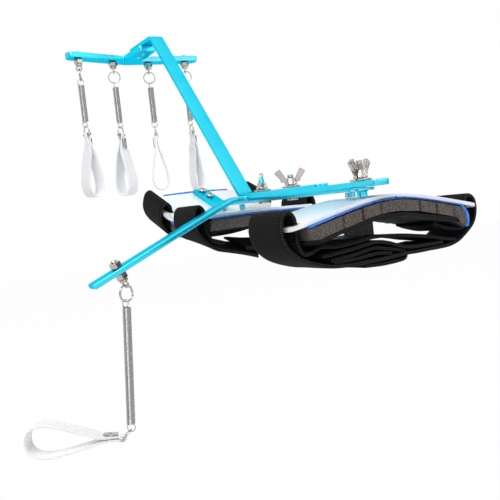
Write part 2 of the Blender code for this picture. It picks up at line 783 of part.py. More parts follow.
def build_clamps():
    foot_top = BRACKET_Z + 2 * BAR_T + GAP
    for number, y, turn in ((1, BOLT1_Y, 62.0), (2, BOLT2_Y, -22.0)):
        turned([(HEAD_R, BRACKET_Z - GAP - HEAD_T), (HEAD_R, BRACKET_Z - GAP), (BOLT_R, BRACKET_Z - GAP),
                (BOLT_R, foot_top + BOLT_RISE - 4.5)], at(0, y, 0), "clamp_bolt_%d" % number, "steel", 16)
        washer("washer_%d" % number, at(0, y, foot_top + GAP))
        wing_nut("wing_nut_%d" % number, at(0, y, foot_top + 2 * GAP + WASHER_T) @ upright(turn))
    top = THUMB_Z + BAR_T
    base = PAD_T + cuff_drop(abs(THUMB_X) - BOSS_POST_R) + GAP
    under = THUMB_Z - GAP
    profile = [(BOSS_POST_R, base), (BOSS_POST_R, under - BOSS_T), (BOSS_R, under - BOSS_T), (BOSS_R, under)]
    pivot = at(THUMB_X, THUMB_PIVOT_Y, 0)
    boss = turned(profile, pivot, "cuff_boss", "anodised", 20)
    combine(boss, disc(BOLT_R + HOLE_PLAY, base - 5, THUMB_Z + 5, pivot, "anodised"), "DIFFERENCE")
    turned([(BOLT_R, base + 0.2), (BOLT_R, top + BOLT_RISE - 1.5)], at(THUMB_X, THUMB_PIVOT_Y, 0),
           "clamp_bolt_3", "steel", 16)
    washer("washer_3", at(THUMB_X, THUMB_PIVOT_Y, top + GAP))
    wing_nut("wing_nut_3", at(THUMB_X, THUMB_PIVOT_Y, top + 2 * GAP + WASHER_T) @ upright(18.0))


# Strands


def eye_bolt(name, matrix, turn, rise):
    # z = 0 of the frame is the bar's under side; the eye hangs below it
    bolt = turned([(BOLT_R, EYE_R - EYE_DROP), (BOLT_R, rise)], matrix, name, "steel", 14)
    combine(bolt, disc(HEX_R, -GAP - HEX_T, -GAP, matrix @ upright(turn), "steel", "cutter", 6), "UNION")
    low = -GAP - HEX_T - COLLAR_T
    combine(bolt, disc(COLLAR_R, low, low + COLLAR_T + 0.5, matrix, "steel", "cutter", 16), "UNION")
    ring = [(0, y, z - EYE_DROP) for y, z in circle(EYE_R, 16)]
    eye = tube(place(ring, matrix @ upright(turn)), EYE_WIRE, "cutter", "steel", 6, True)
    return combine(bolt, eye, "UNION")


def spring_path(body, curls, top_turn, low_turn):
    # Straight down from z = 0, the top of the wound body
    def hook(sign, turn):
        pts = []
        centre = sign * (SPRING_LEAD + SPRING_HOOK_R)
        for i in range(9):
            a = -math.pi / 2 + 1.5 * math.pi * i / 8
            y, z = SPRING_HOOK_R * math.cos(a), SPRING_HOOK_R * math.sin(a)
            pts.append(upright(turn) @ Vector((0, y, centre + sign * z)))
        tail = (pts[-1] - pts[-2]).normalized() * SPRING_WIRE * 2
        pts.append(pts[-1] + tail)
        return pts
    top = list(reversed(hook(1, top_turn)))
    coil = []
    steps = curls * 8
    for i in range(steps + 1):
        a = 2 * math.pi * curls * i / steps
        coil.append(Vector((SPRING_R * math.cos(a), SPRING_R * math.sin(a), -body * i / steps)))
    low = [p + Vector((0, 0, -body)) for p in hook(-1, low_turn)]
    return top + coil + low


def self_gap(path, wire):
    least = 1e9
    total = [0.0]
    for a, b in zip(path, path[1:]):
        total.append(total[-1] + (b - a).length)
    for i in range(len(path)):
        for j in range(i + 1, len(path)):
            if total[j] - total[i] > 6 * wire:
                least = min(least, (path[i] - path[j]).length - 2 * wire)
    return least


def strand_heights(body):
    # Heights under the eye's middle
    pivot = -(EYE_R - EYE_WIRE - RING_WIRE - LINK_PLAY)
    ring_mid = pivot - RING_R
    hook_top = ring_mid - RING_R + RING_WIRE + SPRING_WIRE + LINK_PLAY
    body_top = hook_top - 2 * SPRING_HOOK_R - SPRING_LEAD
    body_low = body_top - body
    hook_low = body_low - SPRING_LEAD - 2 * SPRING_HOOK_R
    bow_top = hook_low + SPRING_WIRE + RING_WIRE + LINK_PLAY
    pin = bow_top - BOW_R - BOW_LEG
    return {"pivot": pivot, "ring": ring_mid, "body": body_top, "low": hook_low, "bow": bow_top, "pin": pin}


def shackle(name, matrix):
    # Pin along X through the origin, bow upwards
    pts = []
    for i in range(9):
        a = math.pi * i / 8
        pts.append((BOW_R * math.cos(a), 0, BOW_LEG + BOW_R * math.sin(a)))
    pts += [(-BOW_R, 0, 1.0), (-BOW_R + 1.0, 0, 0), (0, 0, 0), (BOW_R - 1.0, 0, 0), (BOW_R, 0, 1.0)]
    return tube(place(pts, matrix), RING_WIRE, name, "steel", 6, True)


def loop_path(length, half):
    # Closed teardrop in (across, down) round the pin
    wrap = RING_WIRE + LINK_PLAY + LOOP_T / 2
    neck = LOOP_T / 2 + 0.35
    turns = [math.pi / 2 - math.pi * i / 8 for i in range(5)]
    side = [(wrap * math.cos(a), wrap * math.sin(a)) for a in turns]
    side += [(neck + 0.4, -2.6), (neck, -5.0), (neck, -9.0), (neck + 0.6, -14.0)]
    belly = ((0.41, 0.375), (0.67, 0.52), (0.91, 0.68), (1.0, 0.8), (0.886, 0.907), (0.514, 0.979), (0, 1))
    side += [(half * across, -length * down) for across, down in belly]
    return side + [(-x, z) for x, z in reversed(side[1:-1])]


def loop_band(name, matrix, length, half):
    pts = [Vector(p) for p in loop_path(length, half)]
    rings = []
    count = len(pts)
    for i, p in enumerate(pts):
        along = (pts[(i + 1) % count] - pts[i - 1]).normalized()
        n = Vector((-along.y, along.x)) * LOOP_T / 2
        mix = min(max((-p.y - 2.0) / 16.0, 0.0), 1.0)
        w = (LOOP_NECK_W + (LOOP_W - LOOP_NECK_W) * mix * mix * (3 - 2 * mix)) / 2
        rings.append([(-w, p.x + n.x, p.y + n.y), (w, p.x + n.x, p.y + n.y),
                      (w, p.x - n.x, p.y - n.y), (-w, p.x - n.x, p.y - n.y)])
    verts, faces = loft(rings, True)
    return make(name, place(verts, matrix), faces, "loop_leather")


def clip(name, matrix):
    face = LOOP_T + 0.35 + GAP + 0.5
    w = CLIP_W / 2
    outline = [(-w, -3.2), (w, -3.2), (w, -CLIP_L), (-w, -CLIP_L)]
    outline = rounded(outline, [0.6, 0.6, 2.0, 2.0], 3)
    turn = Matrix.Rotation(math.pi / 2, 4, "X")
    return prism(outline, -face - CLIP_T, -face, matrix @ turn, name, "steel")


def tilt(angle):
    return Matrix.Rotation(math.radians(angle), 4, "X")


def strand(finger, matrix, rise, body, curls, lean=None, link_tilt=0.0, loop_tilt=0.0):
    ring_turn = RING_TURN[finger]
    loop_turn = LOOP_TURN[finger]
    eye_bolt("eye_bolt_" + finger, matrix, ring_turn, rise)
    h = strand_heights(body)
    pivot = matrix @ Vector((0, 0, -EYE_DROP)) + Vector((0, 0, h["pivot"]))
    base = Matrix.Translation(pivot) @ (lean or at(0, 0, 0)) @ at(0, 0, -h["pivot"])
    ring = [(x, 0, z) for x, z in circle(RING_R, 18)]
    ring = place(ring, base @ at(0, 0, h["ring"]) @ upright(ring_turn))
    tube(ring, RING_WIRE, "ring_" + finger, "steel", 6, True)
    path = spring_path(body, curls, ring_turn, loop_turn)
    print("spring", finger, "least gap to itself %.2f mm" % self_gap(path, SPRING_WIRE))
    tube([base @ at(0, 0, h["body"]) @ p for p in path], SPRING_WIRE, "spring_" + finger, "steel", 6)
    hang = base @ at(0, 0, h["bow"]) @ upright(loop_turn) @ tilt(link_tilt) @ at(0, 0, h["pin"] - h["bow"])
    shackle("shackle_" + finger, hang)
    sling = hang @ tilt(loop_tilt - link_tilt)
    loop_band("loop_" + finger, sling, LOOP_L[finger], LOOP_HALF[finger])
    clip("clip_" + finger, sling @ upright(CLIP_TURN[finger]))
    pin = hang.translation
    for piece in ("ring_", "spring_", "shackle_"):
        set_origin(piece + finger, pivot)
    for piece in ("loop_", "clip_"):
        set_origin(piece + finger, pin)
    along = hang.to_3x3() @ Vector((1, 0, 0))
    print(finger, "swings at", [round(v, 2) for v in pivot], "loop turns at", [round(v, 2) for v in pin],
          "about", [round(v, 4) for v in along])


def build_strands():
    for finger, (x, y) in hook_points().items():
        strand(finger, plate_frame() @ at(x, y, 0), T_THICK + 2.0, FINGER_SPRING, FINGER_CURLS)
    hook = thumb_hook_frame()
    rise = BAR_T + 2 * GAP + HEX_T + 1.0
    # The thumb loop is held level, out to the side, with its shackle slanting down to it
    away = upright(LOOP_TURN["thumb"]) @ Vector((0, 1, 0))
    lean = Matrix.Rotation(math.radians(THUMB_LEAN), 4, Vector((away.y, -away.x, 0)))
    strand("thumb", hook, rise, THUMB_SPRING, THUMB_CURLS, lean, THUMB_LINK_TILT, THUMB_LOOP_TILT)
    nut = disc(HEX_R, BAR_T + GAP, BAR_T + GAP + HEX_T, hook @ upright(20.0), "steel", "top_nut_thumb", 6)
    combine(nut, disc(BOLT_R + HOLE_PLAY, -1, 12, hook, "steel"), "DIFFERENCE")


def place_origins():
    pivot = Vector((THUMB_X, THUMB_PIVOT_Y, THUMB_Z))
    for name in ("thumb_bar", "top_nut_thumb", "eye_bolt_thumb", "wing_nut_3"):
        set_origin(name, pivot)
    set_origin("wing_nut_1", (0, BOLT1_Y, BRACKET_Z))
    set_origin("wing_nut_2", (0, BOLT2_Y, BRACKET_Z))
    slide = (0, BOLT1_Y, BRACKET_Z + BAR_T + GAP)
    for name in ("arm", "finger_bar", "bar_screw_rear", "bar_screw_front"):
        set_origin(name, slide)
    for finger in hook_points():
        set_origin("eye_bolt_" + finger, slide)


clear_scene()
material("anodised", BLUE, 0.9, 0.3)
material("shell", WHITE, 0.0, 0.3)
material("cover", COVER_BLUE, 0.0, 0.8)
material("foam", FOAM_GREY, 0.0, 0.95)
material("webbing", BLACK, 0.0, 0.85)
material("steel", STEEL, 1.0, 0.3)
material("loop_leather", WHITE, 0.0, 0.55)
build_shells()
build_straps()
build_bracket()
build_arm()
build_thumb_bar()
build_clamps()
build_strands()
place_origins()
objects = [o for o in bpy.data.objects if o.type == "MESH"]
for obj in objects:
    finish(obj)
total = sum(len(p.vertices) - 2 for o in objects for p in o.data.polygons)
print("nodes", len(objects), "triangles", total)
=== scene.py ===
# Looks of a right-hand finger splint: padded shells, blue outrigger bars, springs and white loops.
import json
import math

import bpy
from mathutils import Matrix, Vector, noise


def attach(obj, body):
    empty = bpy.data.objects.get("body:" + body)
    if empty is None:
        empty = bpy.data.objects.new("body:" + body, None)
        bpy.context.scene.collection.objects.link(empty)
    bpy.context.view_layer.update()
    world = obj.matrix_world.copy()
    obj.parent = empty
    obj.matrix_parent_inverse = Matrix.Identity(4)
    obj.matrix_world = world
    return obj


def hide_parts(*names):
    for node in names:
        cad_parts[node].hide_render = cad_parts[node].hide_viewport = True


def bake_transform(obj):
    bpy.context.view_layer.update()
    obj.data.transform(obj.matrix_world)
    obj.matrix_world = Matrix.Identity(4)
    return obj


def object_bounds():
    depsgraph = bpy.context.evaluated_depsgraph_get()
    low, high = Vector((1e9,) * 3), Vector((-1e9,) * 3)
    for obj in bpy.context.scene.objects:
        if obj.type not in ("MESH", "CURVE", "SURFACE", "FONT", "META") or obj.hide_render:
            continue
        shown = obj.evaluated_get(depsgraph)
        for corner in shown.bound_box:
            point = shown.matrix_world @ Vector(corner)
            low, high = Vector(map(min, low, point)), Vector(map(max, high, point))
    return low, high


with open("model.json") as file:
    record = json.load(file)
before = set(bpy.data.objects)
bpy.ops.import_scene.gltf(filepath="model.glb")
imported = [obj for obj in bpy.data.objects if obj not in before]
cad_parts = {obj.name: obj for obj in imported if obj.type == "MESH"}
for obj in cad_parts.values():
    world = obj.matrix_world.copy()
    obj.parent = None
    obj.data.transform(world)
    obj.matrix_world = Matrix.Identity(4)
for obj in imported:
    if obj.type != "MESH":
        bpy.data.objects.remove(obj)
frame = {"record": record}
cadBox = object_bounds()
mm = 0.001
scene = bpy.context.scene
jointOf = {j["name"]: j for j in frame["record"]["behaviour"]["joints"]}
fingers = ("index", "middle", "ring", "little", "thumb")


# Camera and light

camera = {"place": (-0.2733, -0.3256, 0.0136), "yaw": 30.75, "pitch": -3.50, "roll": -6.28, "focal": 744.5,
          "pixels": 500, "sensor": 36.0}
# the floor clears the stretched thumb strand
studio = {"floorDrop": 0.08, "floorSize": 6.0, "sky": 0.42, "seen": 0.98}
lamps = {"key": {"place": (-0.55, -0.35, 0.85), "aim": (0, 0.12, 0.02), "size": 0.7, "watts": 8.0},
         "fill": {"place": (0.75, -0.45, 0.45), "aim": (0, 0.12, 0.02), "size": 0.8, "watts": 4.0},
         "back": {"place": (0.2, 1.0, 0.7), "aim": (0, 0.15, 0.05), "size": 0.7, "watts": 4.0, "mirrored": False}}
# each spot: place and width
cards = {"aim": (0, 0.15, 0.2), "high": 1.6,
         "spots": (((-0.97, -0.10, 0.2), 0.42), ((0.60, -0.36, 0.2), 0.30), ((0.9, 0.75, 0.2), 0.5))}


def setCamera():
    yaw, pitch, roll = (math.radians(camera[k]) for k in ("yaw", "pitch", "roll"))
    ahead = Vector((math.sin(yaw) * math.cos(pitch), math.cos(yaw) * math.cos(pitch), math.sin(pitch)))
    level = Vector((math.cos(yaw), -math.sin(yaw), 0))
    upward = level.cross(ahead)
    right = level * math.cos(roll) + upward * math.sin(roll)
    up = upward * math.cos(roll) - level * math.sin(roll)
    turn = Matrix((right, up, -ahead)).transposed()
    bpy.ops.object.camera_add(location=camera["place"], rotation=turn.to_euler())
    cam = bpy.context.object
    cam.data.sensor_width = camera["sensor"]
    cam.data.lens = camera["focal"] / camera["pixels"] * camera["sensor"]
    cam.data.clip_start = 0.01
    scene.camera = cam
    wake()


def hexToLinear(code):
    parts = [int(code[i:i + 2], 16) / 255 for i in (1, 3, 5)]
    return tuple(c / 12.92 if c <= 0.04045 else ((c + 0.055) / 1.055) ** 2.4 for c in parts) + (1.0,)


def addNode(tree, kind, values=None, links=None, **settings):
    node = tree.nodes.new(kind)
    for key, value in settings.items():
        setattr(node, key, value)
    for key, value in (values or {}).items():
        node.inputs[key].default_value = value
    for key, source in (links or {}).items():
        tree.links.new(source, node.inputs[key])
    return node


def doMath(tree, operation, first, second=None):
    links = {0: first} if second is None or isinstance(second, float) else {0: first, 1: second}
    values = {1: second} if isinstance(second, float) else None
    return addNode(tree, "ShaderNodeMath", values, links, operation=operation).outputs[0]


def seenBackground(tree):
    # 1 where the camera, a mirror or glass looks at the background
    path = addNode(tree, "ShaderNodeLightPath").outputs
    some = doMath(tree, "MAXIMUM", path["Is Camera Ray"], path["Is Glossy Ray"])
    return doMath(tree, "MAXIMUM", some, path["Is Transmission Ray"])


def addLamp(name, place, aim, size, watts, mirrored=True):
    bpy.ops.object.light_add(type="AREA", location=place)
    lamp = bpy.context.object
    lamp.name = name
    lamp.data.shape = "DISK"
    lamp.data.size = size
    lamp.data.energy = watts
    lamp.visible_glossy = mirrored
    lamp.rotation_euler = (Vector(aim) - Vector(place)).to_track_quat("-Z", "Y").to_euler()


def setLight():
    world = bpy.data.worlds.new("studio")
    scene.world = world
    world.use_nodes = True
    tree = world.node_tree
    tree.nodes.clear()
    sky = addNode(tree, "ShaderNodeBackground", {"Color": (1, 1, 1, 1), "Strength": studio["sky"]})
    white = addNode(tree, "ShaderNodeBackground", {"Color": (1, 1, 1, 1), "Strength": 1.0})
    mix = addNode(tree, "ShaderNodeMixShader",
                  links={0: seenBackground(tree), 1: sky.outputs[0], 2: white.outputs[0]})
    addNode(tree, "ShaderNodeOutputWorld", links={"Surface": mix.outputs[0]})
    for name, lamp in lamps.items():
        addLamp(name, **lamp)

    bpy.ops.mesh.primitive_plane_add(size=studio["floorSize"], location=(0, 0, cadBox[0][2] - studio["floorDrop"]))
    floor = bpy.context.object
    floor.name = "floor"
    paper = bpy.data.materials.new("white paper sweep")  # matt card that fades out to white
    paper.use_nodes = True
    tree = paper.node_tree
    tree.nodes.clear()
    card = addNode(tree, "ShaderNodeBsdfDiffuse", {"Color": hexToLinear("#ECECEC")})
    glow = addNode(tree, "ShaderNodeEmission", {"Color": (1, 1, 1, 1), "Strength": 1.0})
    share = doMath(tree, "MULTIPLY", seenBackground(tree), studio["seen"])
    mix = addNode(tree, "ShaderNodeMixShader", links={0: share, 1: card.outputs[0], 2: glow.outputs[0]})
    addNode(tree, "ShaderNodeOutputMaterial", links={"Surface": mix.outputs[0]})
    floor.data.materials.append(paper)


def addCards():
    # Dark cards round the splint, so that bright metal shows bands; only mirrors see them
    felt = bpy.data.materials.new("black felt card")
    felt.use_nodes = True
    felt.node_tree.nodes["Principled BSDF"].inputs["Base Color"].default_value = hexToLinear("#1A1A1C")
    for place, width in cards["spots"]:
        bpy.ops.mesh.primitive_plane_add(size=1, location=place)
        card = bpy.context.object
        card.scale = (width, cards["high"], 1)
        card.rotation_euler = (Vector(cards["aim"]) - Vector(place)).to_track_quat("Z", "Y").to_euler()
        card.visible_camera = card.visible_diffuse = card.visible_shadow = card.visible_transmission = False
        card.data.materials.append(felt)
        card.name = "card"


# Tools for modelling by hand

weld = 0.002  # mm
bendStep = 9  # degrees to each step of a bend


def clamp(value):
    return min(max(value, 0.0), 1.0)


def shift(x, y, z):
    return Matrix.Translation((x * mm, y * mm, z * mm))


def rotate(axis, degrees):
    return Matrix.Rotation(math.radians(degrees), 4, axis)


def wake(obj=None):
    if bpy.context.mode != "OBJECT":
        leaveEdit()
    bpy.ops.object.select_all(action="DESELECT")
    if obj:
        obj.select_set(True)
        bpy.context.view_layer.objects.active = obj


def editAll(obj):
    wake(obj)
    bpy.ops.object.mode_set(mode="EDIT")
    bpy.ops.mesh.select_all(action="SELECT")
    return obj


def leaveEdit():
    bpy.ops.object.mode_set(mode="OBJECT")


def settle(obj):
    wake(obj)
    bpy.ops.object.transform_apply(location=True, rotation=True, scale=True)
    return obj


def discard(obj):
    bpy.data.objects.remove(obj, do_unlink=True)


def applyModifiers(obj):
    wake(obj)
    for mod in list(obj.modifiers):
        bpy.ops.object.modifier_apply(modifier=mod.name)
    return obj


def pick(obj, kind, test):
    # Select what passes the test and stay in edit mode
    wake(obj)
    mesh = obj.data
    for group in (mesh.vertices, mesh.edges, mesh.polygons):
        group.foreach_set("select", [False] * len(group))
    for item in {"VERT": mesh.vertices, "EDGE": mesh.edges, "FACE": mesh.polygons}[kind]:
        item.select = bool(test(item))
    bpy.context.tool_settings.mesh_select_mode = (kind == "VERT", kind == "EDGE", kind == "FACE")
    bpy.ops.object.mode_set(mode="EDIT")


def faceOut(obj):
    editAll(obj)
    bpy.ops.mesh.normals_make_consistent(inside=False)
    leaveEdit()
    return obj


def tidyMesh(obj):
    editAll(obj)
    bpy.ops.mesh.remove_doubles(threshold=weld * mm)
    return faceOut(obj)


def smoothen(obj, angle=35):
    wake(obj)
    bpy.ops.object.shade_smooth_by_angle(angle=math.radians(angle))
    return obj


def boolean(obj, other, operation):
    mod = obj.modifiers.new("cut", "BOOLEAN")
    mod.operation = operation
    mod.solver = "EXACT"
    mod.object = other
    applyModifiers(obj)
    discard(other)
    return obj


def easeEdges(obj, width, segments=3, angle=35):
    mod = obj.modifiers.new("ease", "BEVEL")
    mod.width = width * mm
    mod.segments = segments
    mod.limit_method = "ANGLE"
    mod.angle_limit = math.radians(angle)
    mod.harden_normals = False
    applyModifiers(obj)
    return smoothen(obj, 40)


def roundEdges(obj, radius, test=lambda m: True, segments=6, axis=2):
    # Round the edges that run along one axis, where the test on their middle passes
    def chosen(edge):
        a, b = (obj.data.vertices[i].co for i in edge.vertices)
        return abs((b - a).normalized()[axis]) > 0.95 and test((a + b) / 2 / mm)
    pick(obj, "EDGE", chosen)
    bpy.ops.mesh.bevel(offset=radius * mm, segments=segments, affect="EDGES")
    leaveEdit()


def addBox(low, high):
    wake()
    middle = [(a + b) / 2 * mm for a, b in zip(low, high)]
    bpy.ops.mesh.primitive_cube_add(size=1, location=middle)
    obj = bpy.context.object
    obj.scale = [(b - a) * mm for a, b in zip(low, high)]
    return settle(obj)


def addRod(radius, low, high):
    wake()
    bpy.ops.mesh.primitive_cylinder_add(vertices=24, radius=radius * mm, depth=(high - low) * mm,
                                        location=(0, 0, (low + high) / 2 * mm))
    return settle(bpy.context.object)


def drill(obj, radius, place):
    rod = addRod(radius, -12, 12)
    rod.data.transform(place)
    boolean(obj, rod, "DIFFERENCE")


def turned(radius, low, high, inward, rise, bore=0):
    # Half the section of a plain round with both rims cut back; a bored one closes on itself
    section = [(bore, low), (radius - inward, low), (radius, low + rise), (radius, high - rise),
               (radius - inward, high), (bore, high)]
    return section + section[:1] if bore else section


def lathe(profile, steps=28):
    # Draw half the section with (radius, height) points, then spin it round
    wake()
    bpy.ops.mesh.primitive_plane_add(size=mm)
    obj = bpy.context.object
    bpy.ops.object.mode_set(mode="EDIT")
    bpy.context.tool_settings.mesh_select_mode = (True, False, False)
    bpy.ops.mesh.select_all(action="SELECT")
    bpy.ops.mesh.merge(type="CENTER")
    bpy.ops.transform.translate(value=(profile[0][0] * mm, 0, profile[0][1] * mm))
    for (r0, z0), (r1, z1) in zip(profile, profile[1:]):
        bpy.ops.mesh.extrude_vertices_move(TRANSFORM_OT_translate={"value": ((r1 - r0) * mm, 0, (z1 - z0) * mm)})
    bpy.ops.mesh.select_all(action="SELECT")
    bpy.ops.mesh.spin(steps=steps, angle=math.tau, center=(0, 0, 0), axis=(0, 0, 1))
    return tidyMesh(obj)


def walk(place, heading, up, moves):
    # Lead the selected end face along: ("run", length) or ("bend", degrees, radius, axis)
    place, heading, up = Vector(place), Vector(heading).normalized(), Vector(up).normalized()
    for kind, *size in moves:
        if kind == "run":
            bpy.ops.mesh.extrude_region_move(TRANSFORM_OT_translate={"value": heading * size[0] * mm})
            place = place + heading * size[0]
            continue
        angle, radius, axis = math.radians(size[0]), size[1], size[2]
        side = heading.cross(up)
        pole = side if axis == "side" else up
        inward = up if axis == "side" else -side
        centre = place + inward * math.copysign(radius, angle)
        steps = max(4, round(abs(size[0]) / bendStep))
        # without a window spin turns the other way, so the angle is negative
        bpy.ops.mesh.spin(steps=steps, angle=-angle, center=centre * mm, axis=pole)
        turn = Matrix.Rotation(angle, 3, pole)
        place, heading, up = centre + turn @ (place - centre), turn @ heading, turn @ up
    leaveEdit()


def startFace(place, heading, up, width, thick):
    # A bar's cross-section, standing across the way it will go
    wake()
    heading, up = Vector(heading).normalized(), Vector(up).normalized()
    bpy.ops.mesh.primitive_plane_add(size=1)
    obj = bpy.context.object
    turn = Matrix((heading.cross(up), up, -heading)).transposed().to_4x4()
    obj.matrix_world = shift(*place) @ turn @ Matrix.Diagonal((width * mm, thick * mm, 1, 1))
    return editAll(settle(obj))


def startWire(place, heading, radius, sides):
    wake()
    bpy.ops.mesh.primitive_circle_add(vertices=sides, radius=radius * mm, fill_type="NGON")
    obj = bpy.context.object
    obj.matrix_world = shift(*place) @ Vector(heading).to_track_quat("Z", "Y").to_matrix().to_4x4()
    return editAll(settle(obj))


def joinPieces(pieces):
    wake(pieces[0])
    for obj in pieces[1:]:
        obj.select_set(True)
    bpy.ops.object.join()
    return bpy.context.object


def copyPiece(obj, place):
    twin = obj.copy()
    twin.data = obj.data.copy()
    scene.collection.objects.link(twin)
    twin.data.transform(place)
    return twin


def finishPiece(obj, name, material, body, nodes=()):
    obj.name = name
    obj.data.name = name
    obj.data.materials.clear()
    obj.data.materials.append(material)
    if body:
        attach(obj, body)
    if nodes:
        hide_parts(*nodes)
    return obj


# Materials

def newMaterial(name, colour, rough, metal=0.0, extra=None):
    material = bpy.data.materials.new(name)
    material.use_nodes = True
    shader = material.node_tree.nodes["Principled BSDF"]
    sockets = {"Base Color": hexToLinear(colour), "Roughness": rough, "Metallic": metal, **(extra or {})}
    for key, value in sockets.items():
        shader.inputs[key].default_value = value
    return material, material.node_tree, shader


def objectPlace(tree):
    return addNode(tree, "ShaderNodeTexCoord").outputs["Object"]


def addNoise(tree, place, size, detail=2.0):
    # size is the grain in millimetres
    values = {"Scale": 1 / (size * mm), "Detail": detail}
    return addNode(tree, "ShaderNodeTexNoise", values, {"Vector": place}).outputs["Fac"]


def addCells(tree, place, size):
    # size is the cell in millimetres
    return addNode(tree, "ShaderNodeTexVoronoi", {"Scale": 1 / (size * mm)}, {"Vector": place}).outputs["Distance"]


def addBump(tree, shader, height, distance, strength=1.0):
    bump = addNode(tree, "ShaderNodeBump", {"Strength": strength, "Distance": distance * mm}, {"Height": height})
    tree.links.new(bump.outputs[0], shader.inputs["Normal"])


def mixColours(tree, factor, *ends):
    # Each end is a hex colour or a socket
    mix = addNode(tree, "ShaderNodeMix", links={0: factor}, data_type="RGBA")
    for socket, end in zip((mix.inputs[6], mix.inputs[7]), ends):
        if isinstance(end, str):
            socket.default_value = hexToLinear(end)
        else:
            tree.links.new(end, socket)
    return mix.outputs[2]


def span(tree, value, low, high, toLow=0.0, toHigh=1.0):
    return addNode(tree, "ShaderNodeMapRange", {1: low, 2: high, 3: toLow, 4: toHigh}, {0: value}).outputs[0]


def clothPlace(tree):
    # Metres along the cloth and in from its edge
    where = addNode(tree, "ShaderNodeUVMap", uv_map="cloth").outputs[0]
    split = addNode(tree, "ShaderNodeSeparateXYZ", links={0: where})
    return split.outputs[0], split.outputs[1]


def makeAnodised():
    # Blasted aluminium, dyed and sealed: satin, clear colour, with a painted highlight that makes the sharp edges
    # paler
    material, tree, shader = newMaterial("satin blue anodised aluminium", "#33D0EC", 0.3, 1.0,
                                         {"Specular Tint": hexToLinear("#6ADCF2")})
    place = objectPlace(tree)
    blast = addNoise(tree, place, 0.7)  # 0.7 mm grain
    cloud = addNoise(tree, place, 18, 3.0)  # 18 mm patches
    # painted highlight: sharp edges, found by pointiness, are mixed towards pale cyan
    edgeHighlight = span(tree, addNode(tree, "ShaderNodeNewGeometry").outputs["Pointiness"], 0.53, 0.62)
    dye = mixColours(tree, cloud, "#30D2EE", "#4EE2F8")
    tree.links.new(mixColours(tree, edgeHighlight, dye, "#8CE0F6"), shader.inputs["Base Color"])
    tree.links.new(span(tree, blast, 0.3, 0.7, 0.24, 0.36), shader.inputs["Roughness"])
    addBump(tree, shader, blast, 0.02, 0.5)
    return material


def makeSteel(name, colour, rough, streak):
    # Plated mild steel: bright, with fine drawing marks and faint dull spots
    material, tree, shader = newMaterial(name, colour, rough, 1.0)
    spots = addNoise(tree, objectPlace(tree), streak, 4.0)  # streak in mm
    tree.links.new(span(tree, spots, 0.3, 0.7, rough - 0.08, rough + 0.12), shader.inputs["Roughness"])
    addBump(tree, shader, spots, 0.015, 0.4)
    return material


def makeShellWhite():
    # Thermoformed sheet: hard gloss with a faint drape in it
    material, tree, shader = newMaterial("glossy white polypropylene", "#F1F3F6", 0.16)
    addBump(tree, shader, addNoise(tree, objectPlace(tree), 16), 0.25, 0.35)  # 16 mm waves
    return material


def makeLoopCloth():
    # Brushed loop-pile fabric bonded to foam
    material, tree, shader = newMaterial("blue brushed loop fabric", "#2478E4", 0.95,
                                         extra={"Sheen Weight": 0.25, "Sheen Roughness": 0.4})
    pile = addNoise(tree, objectPlace(tree), 0.35, 3.0)  # 0.35 mm loops
    patch = addNoise(tree, objectPlace(tree), 3.5)  # 3.5 mm tufts
    both = doMath(tree, "MULTIPLY", pile, patch)
    tree.links.new(mixColours(tree, span(tree, both, 0.12, 0.4), "#0F58C4", "#3F9BFA"), shader.inputs["Base Color"])
    addBump(tree, shader, pile, 0.25)
    return material


def makeOpenFoam():
    # Raw cut open-cell foam: pale cell walls over dark pores, with painted shade darkening its folds
    material, tree, shader = newMaterial("dark grey open-cell foam", "#4D494C", 0.95,
                                         extra={"Specular IOR Level": 0.2})
    place = objectPlace(tree)
    cells = addCells(tree, place, 0.6)  # 0.6 mm cells
    speck = addNoise(tree, place, 0.5, 3.0)  # 0.5 mm specks
    both = doMath(tree, "MULTIPLY", span(tree, cells, 0.1, 0.6, 0.45, 1.0), span(tree, speck, 0.3, 0.7))
    # painted shade: the fold attribute darkens the creases towards near black
    fold = addNode(tree, "ShaderNodeAttribute", attribute_name="fold").outputs["Fac"]
    shade = mixColours(tree, both, "#262223", "#8A817B")
    tree.links.new(mixColours(tree, fold, shade, "#0C0B0C"), shader.inputs["Base Color"])
    addBump(tree, shader, both, 0.35)
    return material


def makeJersey():
    # Black warp-knit lining
    material, tree, shader = newMaterial("black knit lining", "#0E0E10", 0.9,
                                         extra={"Specular IOR Level": 0.15, "Sheen Weight": 0.08})
    addBump(tree, shader, addNoise(tree, objectPlace(tree), 0.5), 0.15)  # 0.5 mm stitches
    return material


def makeWebbing():
    # Black woven elastic: ribs across it every 1.3 mm, ends along it every 0.9 mm, a stitched selvage line
    material, tree, shader = newMaterial(
        "black ribbed elastic webbing", "#141417", 0.85,
        extra={"Specular IOR Level": 0.1, "Sheen Weight": 0.03, "Sheen Roughness": 0.5})
    run, edge = clothPlace(tree)
    rib = doMath(tree, "SINE", doMath(tree, "MULTIPLY", run, math.tau / (1.3 * mm)))
    end = doMath(tree, "SINE", doMath(tree, "MULTIPLY", edge, math.tau / (0.9 * mm)))
    fine = doMath(tree, "MULTIPLY", span(tree, end, -1.0, 1.0), 0.35)
    weave = doMath(tree, "ADD", span(tree, rib, -1.0, 1.0), fine)
    fuzz = addNoise(tree, objectPlace(tree), 0.4)  # 0.4 mm fibres
    shade = mixColours(tree, span(tree, doMath(tree, "MULTIPLY", weave, fuzz), 0.15, 0.75), "#060607", "#161619")
    off = doMath(tree, "ABSOLUTE", doMath(tree, "SUBTRACT", edge, 0.35 * mm))
    thread = doMath(tree, "MULTIPLY", span(tree, off, 0.1 * mm, 0.3 * mm, 1.0, 0.0), span(tree, rib, -0.4, 0.3))
    tree.links.new(mixColours(tree, thread, shade, "#424247"), shader.inputs["Base Color"])
    addBump(tree, shader, weave, 0.3)
    return material


